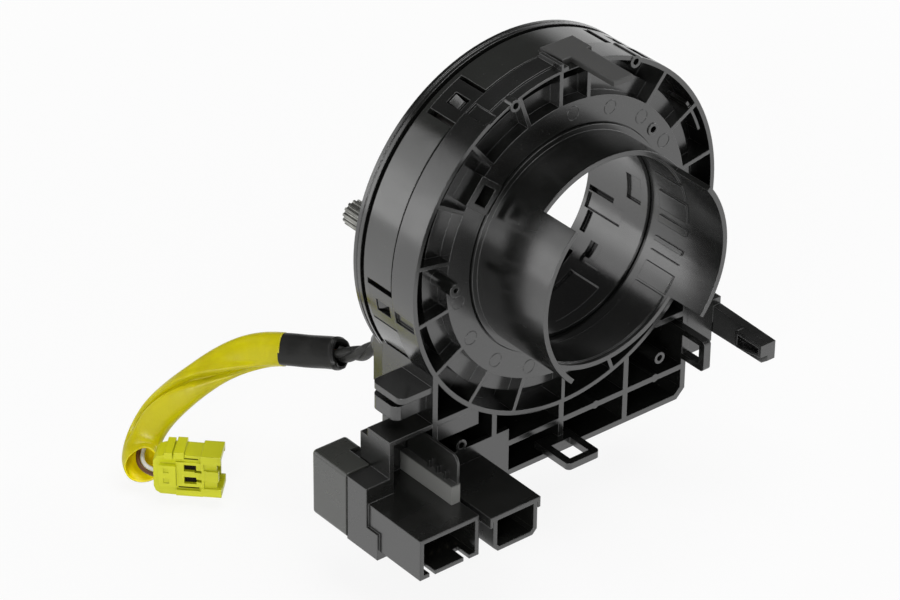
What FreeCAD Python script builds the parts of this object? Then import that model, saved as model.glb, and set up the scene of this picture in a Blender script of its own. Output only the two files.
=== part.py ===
import FreeCAD, Part
import math
import os
import re
import Sketcher

# Steering clock spring, in millimetres.
# The Y axis is the steering axis. The column side looks to -Y, the wheel side to +Y, and +Z is up.
# The origin is on the axis, in the wheel-side face of the rotor disc.
# A "depth" is a distance from that face towards the column, so y = -depth.

Vector = FreeCAD.Vector
DOC = FreeCAD.newDocument("steering_clock_spring")
SHEET = DOC.addObject("Spreadsheet::Sheet", "Sizes")

SIZES = (
    # Rotor disc, hub and sleeve
    ("disc_radius", "55", "outer radius of the rotor disc"),
    ("disc_thick", "3", "thickness of the rotor disc"),
    ("rim_groove", "0.35", "depth of the groove round the disc rim"),
    ("run_gap", "0.3", "running gap between rotor and stator"),
    ("disc_gap", "1.2", "axial gap between disc and case"),
    ("hub_outer", "35", "outer radius of the rotor hub"),
    ("hub_wall", "2.4", "wall of the rotor hub"),
    ("hub_inner", "=hub_outer - hub_wall", "inner radius of the hub"),
    ("sleeve_fit", "0.2", "radial clearance between hub and sleeve"),
    ("sleeve_wall", "1.6", "wall of the rotor sleeve"),
    ("sleeve_outer", "=hub_inner - sleeve_fit", "outer radius of the sleeve"),
    ("bore_radius", "=sleeve_outer - sleeve_wall", "steering shaft bore"),
    ("sleeve_flange", "2.1", "how far the sleeve flange stands out"),
    ("sleeve_lip", "0.5", "thickness of the sleeve flange"),
    # Outer case
    ("case_radius", "54.6", "outer radius of the case band"),
    ("case_wall", "1.6", "wall of the case"),
    ("case_length", "12.1", "length of the case band"),
    ("case_back", "=disc_thick + disc_gap", "depth of the wheel-side edge"),
    ("parting_depth", "=case_back + case_length", "depth of the parting line"),
    # Column housing ring
    ("ring_radius", "55.2", "outer radius of the ring wall"),
    ("ring_wall", "1.4", "ring wall"),
    ("ring_length", "10.7", "length of the ring wall"),
    ("face_depth", "=parting_depth + ring_length", "depth of the ribbed face"),
    ("plate_outer", "43.5", "outer radius of the annular plate"),
    ("pad_outer", "49", "outer radius of the pads between the ribs"),
    ("pad_sink", "4", "depth of the pads below the face"),
    ("channel_sink", "8.6", "depth of the channel below the face"),
    ("floor_thick", "1.6", "thickness of the stepped floor"),
    ("rib_thick", "1.2", "radial ribs"),
    ("rib_first", "110", "angle of the first radial rib"),
    ("rib_span", "300", "angle that the radial ribs cover"),
    ("rib_count", "16", "number of radial ribs"),
    ("ledge_thick", "0.9", "ledge that traps the rotor"),
    ("collar_sink", "0.8", "how deep the collar flange sits"),
    ("collar_seat", "=face_depth - collar_sink", "depth of the collar's seat"),
    ("sleeve_seat", "=collar_seat - sleeve_lip - 2 * run_gap", "depth of the ledge's front"),
    ("ledge_back", "=sleeve_seat - ledge_thick", "depth of the ledge's back"),
    # Collar
    ("collar_outer", "33.5", "outer radius of the collar tube"),
    ("collar_wall", "1.5", "wall of the collar tube"),
    ("collar_flange", "1.7", "how far the collar flange stands out"),
    ("collar_flange_thick", "1.8", "thickness of the collar flange"),
    ("collar_slack", "0.3", "gap round the collar flange"),
    ("collar_length", "16", "full-circle stretch of the collar, from the face"),
    ("wing_length", "13.5", "how far the wings stand beyond it"),
    ("left_wing_mid", "180", "middle angle of the left wing"),
    ("left_wing_span", "94", "angle that the left wing covers"),
    ("right_wing_mid", "-0.7", "middle angle of the right wing"),
    ("right_wing_span", "78.7", "angle that the right wing covers"),
    ("collar_inner", "=collar_outer - collar_wall", "bore of the collar"),
    ("grip_proud", "0.5", "how far the grip band stands in from the collar's bore"),
    ("grip_start", "30", "depth where the grip band starts"),
    ("grip_end", "41.6", "depth where the grip band ends"),
    # Snap tabs
    ("seam_width", "1.1", "groove where the ring meets the case"),
    ("seam_sink", "1.2", "groove where the ring meets the case"),
    ("tab_span", "12", "angle that a snap tab covers"),
    ("tab_gap_span", "1.5", "angle left free beside a tab"),
    ("tab_thick", "1.5", "thickness of a snap tab"),
    ("tab_slot_span", "4.2", "angle of the slot in a tab"),
    ("tab_bar", "3.3", "bar beyond the slot"),
    ("tab_slot", "6", "length of the slot in a tab"),
    ("tab_rib", "2.5", "rib between the slot and the recess beyond it"),
    ("tab_sink", "0.8", "depth of the recess beyond the slot"),
    ("tab_clear", "0.4", "clearance round the snap finger"),
    # Lower bracket
    ("bracket_left", "48", "left wall, from the axis"),
    ("bracket_right", "47.5", "right wall, from the axis"),
    ("bracket_drop", "72", "bottom wall, below the axis"),
    ("bracket_bevel", "3", "bevel of the lower right corner"),
    ("bracket_wall", "1.8", "walls and ribs of the bracket"),
    ("shelf_drop", "61", "shelf across the bracket, below the axis"),
    ("blank_plate_right", "20", "right edge of the blank plate"),
    ("blank_plate_drop", "56", "upper edge of the blank plate"),
    ("lug_seat_rise", "54.1", "flat on the ring that carries the lug, above the axis"),
    ("lug_thick", "1.7", "thickness of the locating lug"),
    ("arm_reach", "23.5", "hook arm, beyond the face"),
    ("arm_thick", "2.8", "thickness of the arm and of its hook"),
    ("loop_round", "1.4", "rounded corners of the loops"),
    ("lip_round", "2.4", "rounded corners of the lips"),
    ("boss_radius", "1.9", "screw boss, outer radius"),
    ("boss_hole", "1", "screw boss, pilot hole radius"),
    ("boss_hole_deep", "6", "depth of the pilot holes"),
    ("boss_proud", "0.3", "how far the bosses stand out of the face"),
    ("post_radius", "2.1", "tall post, outer radius"),
    ("post_hole", "0.8", "tall post, hole radius"),
    ("post_length", "13.2", "tall post, from the channel floor"),
    # Connectors
    ("block_width", "23.5", "connector block, from the bracket's left wall"),
    ("block_top", "55.2", "top of the connector block, below the axis"),
    ("block_bottom", "76.6", "bottom of the connector block, below the axis"),
    ("block_back", "18.2", "depth of the block's back"),
    ("block_foot", "5", "how far the block's foot steps forward"),
    ("foot_top", "68", "top of the foot, below the axis"),
    ("socket_wall", "1.3", "wall of the sockets"),
    ("socket_width", "20.9", "width of the large socket"),
    ("socket_height", "13.2", "height of the large socket"),
    ("socket_reach", "23.2", "how far the large socket stands forward"),
    ("socket_inset", "0.8", "large socket, from the block's left face"),
    ("socket_top", "60.5", "top of the large socket, below the axis"),
    ("socket_blind", "6", "thickness behind the socket's cavity"),
    ("small_width", "15.8", "width of the small socket"),
    ("small_height", "12", "height of the small socket"),
    ("small_reach", "26", "how far the small socket stands forward"),
    ("small_right", "31", "right side of the small socket"),
    ("small_lid", "1.1", "how far its lid overhangs each side"),
    ("tower_width", "15.3", "tower, from the bracket's left wall"),
    ("tower_top", "43", "top of the tower, below the axis"),
    ("tower_wall", "1.5", "wall of the tower"),
    ("tower_back", "17", "depth of the tower's back"),
    ("cover_back", "2", "depth of the cover's back"),
    ("cover_reach", "8.3", "width of the cover where it meets the block"),
    ("cover_wall", "1.6", "wall of the cover"),
    ("cover_seam", "0.2", "open seam between cover and block"),
    ("cover_round", "1.4", "rounded edges of the cover"),
    ("lever_thick", "3", "thickness of the lock lever"),
    ("lever_height", "6.2", "height of the lock lever"),
    ("lever_reach", "14.7", "how far the lever stands forward"),
    ("lever_wall", "0.8", "thin wall on the lever"),
    ("lever_wall_top", "45.4", "top of the thin wall, below the axis"),
    ("lever_wall_round", "3", "rounded corner of the thin wall"),
    ("pin_side", "0.9", "terminal pins, side"),
    ("pin_length", "7", "terminal pins, free length"),
    # Drive pin
    ("pin_radius", "4", "drive pin, over the flutes"),
    ("pin_reach", "8.3", "drive pin, beyond the disc"),
    ("pin_left", "48.4", "drive pin, left of the steering axis"),
    ("pin_rise", "9.4", "drive pin, above the steering axis"),
    ("pin_flutes", "14", "number of flutes"),
    ("flute_radius", "0.55", "radius of one flute"),
    # Spiral cable
    ("cable_thick", "0.8", "thickness of the wound cable, with its slack"),
    ("cable_pitch", "2", "growth of radius for each turn"),
    ("cable_width", "9", "width of the cable"),
    ("cable_clear", "0.3", "cable, from the block and wall beside its ends"),
    ("cable_start", "226", "angle where the cable leaves the inner block"),
    ("lead_block_thick", "3.4", "radial thickness of the inner lead block"),
    # Airbag lead
    ("bundle_diameter", "4.8", "taped bundle"),
    ("wire_diameter", "2.6", "pair of wires"),
    ("sleeve_slack", "0.1", "gap between the wires and their sleeves"),
    ("black_diameter", "10", "black sleeve"),
    ("yellow_diameter", "9.8", "yellow sleeve"),
    ("plug_length", "20", "plug"),
    ("plug_height", "14", "plug"),
    ("plug_thick", "9", "plug"),
    ("plug_wall", "1.2", "plug"),
    ("plug_grip", "4", "length of the wires held in the plug"),
    ("plug_lift", "2", "middle of the plug above the wires"),
)

TAB_ANGLES = (121, 190, 59, 352)
GRIP_GROOVES = ((-41, 1.2), (-27, 6), (-21, 5), (-12, 8), (-2, 4), (12.5, 3), (25.5, 3), (150, 6), (210, 6))
FACE_BOSSES = ((-20.2, 49.3), (23.0, 48.6), (30.5, 24.5))
BRACKET_BOSSES = ((37.1, -54.6), (-37.5, -54.6))
SHELF_BUMPS = (12.6, 35.5)

# The lead's route, chosen by hand: straight out of the gland, then down and back to the plug.
LEAD_ROUTE = (
    (-37.5, 9.0, -38.5),
    (-38.0, 17.5, -47.0),
    (-43.5, 31.0, -49.9),
    (-55.6, 51.0, -53.7),
    (-76.2, 62.0, -69.6),
    (-81.1, 69.0, -84.7),
    (-89.2, 59.6, -88.6),
    (-82.8, 53.2, -88.6),
)
ARC_SHARE = 0.45


def fill_sheet():
    for row, (alias, text, note) in enumerate(SIZES, start=1):
        SHEET.set(f"A{row}", alias)
        SHEET.set(f"B{row}", text)
        SHEET.setAlias(f"B{row}", alias)
        SHEET.set(f"C{row}", note)
    DOC.recompute()


ALIASES = {alias for alias, _, _ in SIZES}


def bound(text):
    """An expression for another object, with the sheet's name before each alias."""
    return re.sub(r"[a-z_]+", lambda m: "Sizes." + m.group() if m.group() in ALIASES else m.group(), str(text))


def size(text):
    return float(SHEET.evalExpression(str(text)))


def new_body(label):
    body = DOC.addObject("PartDesign::Body", label)
    body.Label = label
    return body


def origin_feature(body, role):
    return next(item for item in body.Origin.OriginFeatures if item.Role == role)


def new_sketch(body, name, role, offset="0", turn="0", turn_axis=Vector(0, 0, 1)):
    sketch = body.newObject("Sketcher::SketchObject", name)
    sketch.AttachmentSupport = [(origin_feature(body, role), "")]
    sketch.MapMode = "FlatFace"
    sketch.AttachmentOffset = FreeCAD.Placement(Vector(0, 0, 0), FreeCAD.Rotation(turn_axis, size(turn)))
    sketch.setExpression("AttachmentOffset.Base.z", bound(offset))
    if turn != "0":
        sketch.setExpression("AttachmentOffset.Rotation.Angle", bound(turn))
    return sketch


def place_point(sketch, geometry, position, across, up):
    """Ties one point of a sketch to two expressions."""
    for kind, text in (("DistanceX", across), ("DistanceY", up)):
        number = sketch.addConstraint(Sketcher.Constraint(kind, -1, 1, geometry, position, size(text)))
        sketch.setExpression(f"Constraints[{number}]", bound(text))


def draw_polygon(sketch, points):
    places = [Vector(size(across), size(up), 0) for across, up in points]
    first = sketch.GeometryCount
    count = len(places)
    for step in range(count):
        sketch.addGeometry(Part.LineSegment(places[step], places[(step + 1) % count]), False)
    for step in range(count):
        following = first + (step + 1) % count
        sketch.addConstraint(Sketcher.Constraint("Coincident", first + step, 2, following, 1))
    for step, (across, up) in enumerate(points):
        place_point(sketch, first + step, 1, across, up)


def draw_circle(sketch, across, up, radius):
    circle = Part.Circle(Vector(size(across), size(up), 0), Vector(0, 0, 1), size(radius))
    number = sketch.addGeometry(circle, False)
    place_point(sketch, number, 3, across, up)
    held = sketch.addConstraint(Sketcher.Constraint("Radius", number, size(radius)))
    sketch.setExpression(f"Constraints[{held}]", bound(radius))


def extruded(body, name, sketch, length, cut):
    kind = "PartDesign::Pocket" if cut else "PartDesign::Pad"
    feature = body.newObject(kind, name)
    feature.Profile = sketch
    feature.setExpression("Length", bound(length))
    sketch.Visibility = False
    return feature


def facing(body, name, points, wheel_end, column_end, cut=False, turn="0"):
    """A prism of a polygon in X and Z, between two depths."""
    start = column_end if cut else wheel_end
    sketch = new_sketch(body, name + "_outline", "XZ_Plane", start, turn)
    draw_polygon(sketch, points)
    return extruded(body, name, sketch, f"({column_end}) - ({wheel_end})", cut)


def facing_all(body, name, outlines, wheel_end, column_end):
    """Prisms of several separate polygons in X and Z, between two depths."""
    sketch = new_sketch(body, name + "_outline", "XZ_Plane", wheel_end)
    for points in outlines:
        draw_polygon(sketch, points)
    return extruded(body, name, sketch, f"({column_end}) - ({wheel_end})", False)


def facing_round(body, name, circles, wheel_end, column_end, cut=False):
    """A prism of circles in X and Z, between two depths."""
    start = column_end if cut else wheel_end
    sketch = new_sketch(body, name + "_outline", "XZ_Plane", start)
    for across, up, radius in circles:
        draw_circle(sketch, across, up, radius)
    return extruded(body, name, sketch, f"({column_end}) - ({wheel_end})", cut)


def sideways(body, name, points, left, right, cut=False):
    """A prism of a polygon in depth and Z, between two places along X."""
    sketch = new_sketch(body, name + "_outline", "YZ_Plane", right if cut else left)
    draw_polygon(sketch, [(f"-({depth})", up) for depth, up in points])
    return extruded(body, name, sketch, f"({right}) - ({left})", cut)


def lying(body, name, points, low, high, cut=False):
    """A prism of a polygon in X and depth, between two heights."""
    sketch = new_sketch(body, name + "_outline", "XY_Plane", high if cut else low)
    draw_polygon(sketch, [(across, f"-({depth})") for across, depth in points])
    return extruded(body, name, sketch, f"({high}) - ({low})", cut)


def turned(body, name, points, middle="0", span="360", cut=False):
    """A polygon in radius and depth, turned about the steering axis round a middle angle."""
    sketch = new_sketch(body, name + "_outline", "XY_Plane", "0", f"-({middle})", Vector(0, 1, 0))
    draw_polygon(sketch, [(radius, f"-({depth})") for radius, depth in points])
    feature = body.newObject("PartDesign::Groove" if cut else "PartDesign::Revolution", name)
    feature.Profile = sketch
    feature.ReferenceAxis = (origin_feature(body, "Y_Axis"), [""])
    feature.Midplane = span != "360"
    feature.setExpression("Angle", bound(span))
    sketch.Visibility = False
    return feature


def around(body, name, feature, span, count):
    """Copies a feature round the steering axis."""
    pattern = body.newObject("PartDesign::PolarPattern", name)
    pattern.Originals = [feature]
    pattern.Axis = (origin_feature(body, "Y_Axis"), [""])
    pattern.Reversed = True
    pattern.setExpression("Angle", bound(span))
    pattern.setExpression("Occurrences", bound(count))
    body.Tip = pattern
    return pattern


def rectangle(left, right, low, high):
    return ((left, low), (right, low), (right, high), (left, high))


def rounded(body, name, radius, chosen):
    """Rounds the edges of the body so far that a test picks."""
    DOC.recompute()
    base = body.Tip
    names = [f"Edge{n}" for n, edge in enumerate(base.Shape.Edges, start=1) if chosen(edge)]
    fillet = body.newObject("PartDesign::Fillet", name)
    fillet.Base = (base, names)
    fillet.setExpression("Radius", bound(radius))
    return fillet


def along(edge, direction):
    """True for a straight edge along a direction."""
    if not isinstance(edge.Curve, Part.Line):
        return False
    return abs(abs(edge.Curve.Direction.dot(direction)) - 1) < 1e-6


def column_housing():
    """The ribbed ring that faces the column, with its lower bracket, clips and bosses."""
    body = new_body("column_housing")
    bracket_shell(body)
    bracket_ribs(body)
    right_lug(body)
    hook_arm(body)
    wire_loops(body)
    left_lips(body)
    ring(body)
    face_ribs(body)
    band_details(body)
    snap_tabs(body)
    face_bosses(body)
    window_clip(body)
    lug_seat(body)
    return body


def ring(body):
    """The stepped ring, turned: ledge, annular plate, pads, channel and outer wall."""
    profile = (
        ("sleeve_outer + run_gap", "ledge_back"),
        ("sleeve_outer + run_gap", "sleeve_seat"),
        ("sleeve_outer + sleeve_flange + run_gap", "sleeve_seat"),
        ("sleeve_outer + sleeve_flange + run_gap", "collar_seat"),
        ("collar_outer + collar_flange + collar_slack", "collar_seat"),
        ("collar_outer + collar_flange + collar_slack", "face_depth"),
        ("plate_outer", "face_depth"),
        ("plate_outer", "face_depth - pad_sink"),
        ("pad_outer", "face_depth - pad_sink"),
        ("pad_outer", "face_depth - channel_sink"),
        ("ring_radius - ring_wall", "face_depth - channel_sink"),
        ("ring_radius - ring_wall", "face_depth"),
        ("ring_radius", "face_depth"),
        ("ring_radius", "parting_depth + seam_width"),
        ("ring_radius - seam_sink", "parting_depth + seam_width"),
        ("ring_radius - seam_sink", "parting_depth"),
        ("pad_outer - floor_thick", "parting_depth"),
        ("pad_outer - floor_thick", "face_depth - pad_sink - floor_thick"),
        ("plate_outer - floor_thick", "face_depth - pad_sink - floor_thick"),
        ("plate_outer - floor_thick", "ledge_back"),
    )
    turned(body, "ring", profile)


def bracket_shell(body):
    """The box below the ring, open to the column, cut to the ring and the case."""
    outer = (
        ("-bracket_left", "-20"),
        ("-bracket_left", "-bracket_drop"),
        ("bracket_right - bracket_bevel", "-bracket_drop"),
        ("bracket_right", "-bracket_drop + bracket_bevel"),
        ("bracket_right", "-20"),
    )
    inner = (
        ("-bracket_left + bracket_wall", "-19"),
        ("-bracket_left + bracket_wall", "-bracket_drop + bracket_wall"),
        ("bracket_right - bracket_bevel - bracket_wall / 2", "-bracket_drop + bracket_wall"),
        ("bracket_right - bracket_wall", "-bracket_drop + bracket_bevel + bracket_wall / 2"),
        ("bracket_right - bracket_wall", "-19"),
    )
    facing(body, "bracket_block", outer, "case_back", "face_depth")
    facing(body, "bracket_hollow", inner, "case_back + bracket_wall", "face_depth", cut=True)
    facing_round(body, "case_clearance", [("0", "0", "case_radius + run_gap")], "0", "parting_depth", cut=True)
    facing_round(body, "ring_clearance", [("0", "0", "ring_radius - ring_wall / 2")],
                 "parting_depth", "face_depth + 1", cut=True)


def face_ribs(body):
    """Radial ribs across the recess of the face, and two upright ones at the top."""
    rib = facing(body, "radial_rib",
                 rectangle("plate_outer - 0.5", "ring_radius - ring_wall / 2", "-rib_thick / 2", "rib_thick / 2"),
                 "face_depth - channel_sink - 0.5", "face_depth", turn="rib_first")
    around(body, "radial_ribs", rib, "rib_span", "rib_count")
    uprights = [rectangle(f"{across} - rib_thick / 2", f"{across} + rib_thick / 2", "plate_outer - 1", top)
                for across, top in (("-3.8", "56.5"), ("6.2", "53.5"))]
    facing_all(body, "upright_ribs", uprights, "face_depth - channel_sink - 0.5", "face_depth")


def band_details(body):
    """A step round the top of the ring wall, and a short curved rib in the channel at the right."""
    step = rectangle("ring_radius - 0.6", "ring_radius + 1", "face_depth - 3.2", "face_depth + 0.5")
    turned(body, "band_step", step, "108", "28", cut=True)
    rib = rectangle("ring_radius - 3.6", "ring_radius - 2.7", "face_depth - channel_sink - 0.5", "face_depth - 0.6")
    turned(body, "curved_rib", rib, "26.5", "13")


def snap_tabs(body):
    """Slotted tongues that reach over the case, with its snap fingers in their slots."""
    inside = "case_radius + 0.4 - tab_thick"
    for number, angle in enumerate(TAB_ANGLES, start=1):
        tongue = rectangle(inside, "case_radius + 0.4", "case_back + case_wall + tab_clear", "parting_depth + 1")
        turned(body, f"tab_{number}", tongue, str(angle), "tab_span")
        start = "case_back + case_wall + tab_clear + tab_bar"
        slot = rectangle(f"{inside} - 1.5", "ring_radius + 1", start, f"{start} + tab_slot")
        turned(body, f"tab_slot_{number}", slot, str(angle), "tab_slot_span", cut=True)
        recess = rectangle("ring_radius - tab_sink", "ring_radius + 1", f"{start} + tab_slot + tab_rib",
                           "face_depth - 0.8")
        turned(body, f"tab_recess_{number}", recess, str(angle), "tab_slot_span", cut=True)


def bracket_ribs(body):
    """Shelf, uprights, plates and screw bosses inside the bracket."""
    floor = "case_back + bracket_wall - 0.5"
    half = "bracket_wall / 2"
    left_in = f"-bracket_left + {half}"
    right_in = f"bracket_right - {half}"
    facing(body, "shelf", rectangle(left_in, right_in, f"-shelf_drop - {half}", f"-shelf_drop + {half}"),
           floor, "face_depth")
    uprights = (
        rectangle("-26.4", "-24.6", "-blank_plate_drop - 5.5", "-48.4"),
        rectangle("-1.4", "0.4", f"-bracket_drop + {half}", "-ring_radius + ring_wall / 4"),
        rectangle("23.1", "24.9", f"-bracket_drop + {half}", "-49.4"),
        rectangle(left_in, "-34", "-44.4", "-42.6"),
        rectangle("35", right_in, "-43.4", "-41.6"),
    )
    facing_all(body, "walls", uprights, floor, "face_depth")
    facing(body, "blank_plate", rectangle(left_in, "-blank_plate_right", f"-bracket_drop + {half}",
                                          "-blank_plate_drop"), "face_depth - 1.6", "face_depth")
    pad = ((left_in, "-51"), ("-30", "-51"), ("-30", "-46.4"), ("-33", "-44"), (left_in, "-44"))
    facing(body, "left_pad", pad, "face_depth - 3.2", "face_depth - 1.6")
    bumps = [(str(across), "-shelf_drop", "1.3") for across in SHELF_BUMPS]
    bosses = [(str(x), str(z), "boss_radius") for x, z in BRACKET_BOSSES]
    facing_round(body, "shelf_bumps", bumps + bosses, floor, "face_depth")
    holes = [(str(x), str(z), "boss_hole") for x, z in BRACKET_BOSSES]
    facing_round(body, "bracket_boss_holes", holes, "face_depth - boss_hole_deep", "face_depth", cut=True)


def face_bosses(body):
    """Hollow screw bosses on the ring's face, and the tall post at the left."""
    channel = "face_depth - channel_sink"
    bosses = [(str(x), str(z), "boss_radius") for x, z in FACE_BOSSES]
    facing_round(body, "bosses", bosses, f"{channel} - 0.5", "face_depth + boss_proud")
    post = ("-43.9", "1.6")
    facing_round(body, "tall_post", [(*post, "post_radius")], f"{channel} - 0.5", f"{channel} + post_length")
    holes = [(str(x), str(z), "boss_hole") for x, z in FACE_BOSSES] + [(*post, "post_hole")]
    facing_round(body, "boss_holes", holes, "face_depth - boss_hole_deep + boss_proud", f"{channel} + post_length",
                 cut=True)


def window_clip(body):
    """The square window frame on the plate at the upper left."""
    facing(body, "window_frame", rectangle("37", "46", "-4.6", "4.6"),
           "face_depth - pad_sink - 0.5", "face_depth + 2", turn="141")
    facing(body, "window_hole", rectangle("38.8", "43.6", "-2.9", "2.9"),
           "face_depth - pad_sink + 0.5", "face_depth + 2", cut=True, turn="141")


def right_lug(body):
    """The plate to the right of the bracket that carries the hook arm."""
    plate = (
        ("bracket_right - 1", "-42.6"),
        ("bracket_right + 13.3", "-42.6"),
        ("bracket_right + 13.3", "-50.5"),
        ("bracket_right + 10.3", "-50.5"),
        ("bracket_right + 10.3", "-56.8"),
        ("bracket_right + 6.7", "-58.2"),
        ("bracket_right - 1", "-58.2"),
    )
    facing(body, "lug_plate", plate, "face_depth - 3.4", "face_depth - 0.4")


def hook_arm(body):
    """The long arm with a pocketed hook at its end."""
    right = "bracket_right + 13.3"
    blade = (
        ("face_depth - 3.4", "-44.8"),
        ("face_depth + arm_reach", "-46"),
        ("face_depth + arm_reach", "-52"),
        ("face_depth + arm_reach - 2.5", "-53.9"),
        ("face_depth - 3.4", "-53.9"),
    )
    hook = (
        ("face_depth + arm_reach - 11.5", "-45.6"),
        ("face_depth + arm_reach", "-46"),
        ("face_depth + arm_reach", "-50"),
        ("face_depth + arm_reach - 11.5", "-51.6"),
    )
    pocket = (
        ("face_depth + arm_reach - 10.2", "-47"),
        ("face_depth + arm_reach - 1.2", "-47.2"),
        ("face_depth + arm_reach - 1.2", "-49.2"),
        ("face_depth + arm_reach - 10.2", "-50.4"),
    )
    sideways(body, "arm_blade", blade, f"{right} - arm_thick", right)
    sideways(body, "arm_hook", hook, f"{right} - 2 * arm_thick", f"{right} - arm_thick + 0.1")
    sideways(body, "arm_pocket", pocket, f"{right} - 2 * arm_thick", f"{right} - arm_thick - 0.5", cut=True)


def wire_loops(body):
    """The upright loop at the right and the lying loop at the bottom."""
    side = "bracket_right - bracket_wall"
    sideways(body, "side_loop", rectangle("face_depth - 7", "face_depth + 12", "-56.2", "-46"),
             f"{side} - 2.2", f"{side} + 0.3")
    front = -size("face_depth + 12")
    rounded(body, "side_loop_round", "loop_round",
            lambda edge: along(edge, Vector(1, 0, 0)) and abs(edge.BoundBox.YMin - front) < 0.01)
    sideways(body, "side_loop_window", rectangle("face_depth + 2.5", "face_depth + 9.7", "-54.2", "-48"),
             f"{side} - 2.2", f"{side} + 0.3", cut=True)
    lying(body, "bottom_loop", rectangle("-8.5", "3.5", "face_depth - 2", "face_depth + 13"), "-68.5", "-66.3")
    tip = -size("face_depth + 13")
    rounded(body, "bottom_loop_round", "loop_round",
            lambda edge: along(edge, Vector(0, 0, 1)) and abs(edge.BoundBox.YMin - tip) < 0.01)
    lying(body, "bottom_loop_window", rectangle("-6", "1", "face_depth + 2.5", "face_depth + 10.7"),
          "-68.5", "-66.3", cut=True)


def left_lips(body):
    """Two lips on the left wall that grip the edge of a panel."""
    right = "-bracket_left + 0.5"
    lying(body, "upper_lip", rectangle("-59", right, "13", "26.5"), "-33", "-31")
    lying(body, "lower_lip", rectangle("-59", right, "13", "24"), "-39.6", "-35")
    rounded(body, "lip_rounds", "lip_round",
            lambda edge: along(edge, Vector(0, 0, 1)) and abs(edge.BoundBox.XMin + 59) < 0.01)
    lying(body, "lower_lip_hollow", rectangle("-57", "-51", "14.6", "22.6"), "-39.6", "-36.6", cut=True)
    lying(body, "lip_root", rectangle("-51", right, "14", "24"), "-36", "-32.5")


def lug_seat(body):
    """A flat on top of the ring for the locating lug."""
    facing(body, "lug_flat", rectangle("-1.4", "10.7", "lug_seat_rise", "lug_seat_rise + 3"),
           "parting_depth - 2", "face_depth + 0.5", cut=True)


def outer_case():
    """The wheel-side half of the case: a flange and a band with notches and snap fingers."""
    body = new_body("outer_case")
    profile = (
        ("hub_outer + run_gap", "case_back"),
        ("case_radius", "case_back"),
        ("case_radius", "parting_depth"),
        ("case_radius - case_wall", "parting_depth"),
        ("case_radius - case_wall", "case_back + case_wall"),
        ("hub_outer + run_gap", "case_back + case_wall"),
    )
    turned(body, "case", profile)
    facing(body, "case_flat", rectangle("-1.4", "10.7", "lug_seat_rise", "lug_seat_rise + 3"),
           "parting_depth - 2", "parting_depth + 0.5", cut=True)
    inside = "case_radius + 0.4 - tab_thick"
    for number, angle in enumerate(TAB_ANGLES, start=1):
        notch = rectangle("case_radius - case_wall - 1", "case_radius + 1", "case_back + case_wall",
                          "parting_depth + 1")
        turned(body, f"notch_{number}", notch, str(angle), "tab_span + 2 * tab_gap_span", cut=True)
        finger = rectangle(f"{inside} - tab_clear - 1.4", f"{inside} - tab_clear", "case_back + case_wall - 0.5",
                           "case_back + case_wall + tab_bar + 4")
        turned(body, f"finger_{number}", finger, str(angle), "tab_slot_span - 1")
        barb = (
            (f"{inside} - tab_clear - 0.5", "case_back + case_wall + tab_bar + 2 * tab_clear"),
            ("case_radius + 0.2", "case_back + case_wall + tab_bar + 2 * tab_clear"),
            (f"{inside} - tab_clear - 0.5", "case_back + case_wall + tab_bar + 4"),
        )
        turned(body, f"barb_{number}", barb, str(angle), "tab_slot_span - 1")
    return body


def collar():
    """The tube that grips the column, with two curved wings."""
    body = new_body("collar")
    full = "face_depth + collar_length"
    tip = f"{full} + wing_length"
    profile = (
        ("collar_inner", "collar_seat"),
        ("collar_outer + collar_flange", "collar_seat"),
        ("collar_outer + collar_flange", "collar_seat + collar_flange_thick"),
        ("collar_outer", "collar_seat + collar_flange_thick"),
        ("collar_outer", full),
        ("collar_inner", full),
        ("collar_inner", "grip_end"),
        ("collar_inner - grip_proud", "grip_end"),
        ("collar_inner - grip_proud", "grip_start"),
        ("collar_inner", "grip_start"),
    )
    turned(body, "tube", profile)
    wing = rectangle("collar_inner", "collar_outer", f"{full} - 1", tip)
    turned(body, "left_wing", wing, "left_wing_mid", "left_wing_span")
    turned(body, "right_wing", wing, "right_wing_mid", "right_wing_span")
    for number, (angle, span) in enumerate(GRIP_GROOVES, start=1):
        groove = rectangle("collar_inner - grip_proud - 1", "collar_inner", "grip_start - 0.2", "grip_end + 0.2")
        turned(body, f"grip_groove_{number}", groove, str(angle), str(span), cut=True)
    return body


def rotor_disc():
    """The turning disc with its hub, seen from the column only as a thin rim."""
    body = new_body("rotor_disc")
    profile = (
        ("hub_inner", "0"),
        ("disc_radius", "0"),
        ("disc_radius", "disc_thick / 2 - 0.35"),
        ("disc_radius - rim_groove", "disc_thick / 2 - 0.15"),
        ("disc_radius - rim_groove", "disc_thick / 2 + 0.15"),
        ("disc_radius", "disc_thick / 2 + 0.35"),
        ("disc_radius", "disc_thick"),
        ("hub_outer", "disc_thick"),
        ("hub_outer", "ledge_back - run_gap"),
        ("hub_inner", "ledge_back - run_gap"),
    )
    turned(body, "disc", profile)
    turned(body, "wheel_rim", rectangle("hub_inner + 1", "hub_outer + 1.2", "-2", "0.5"))
    turned(body, "wheel_ridge", rectangle("disc_radius - 5.5", "disc_radius - 4", "-1.2", "0.5"), "80", "150")
    rib = facing(body, "wheel_rib", rectangle("hub_outer", "disc_radius - 4.8", "-0.8", "0.8"), "-1.2", "0.5",
                 turn="25")
    around(body, "wheel_ribs", rib, "110", "6")
    return body


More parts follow.
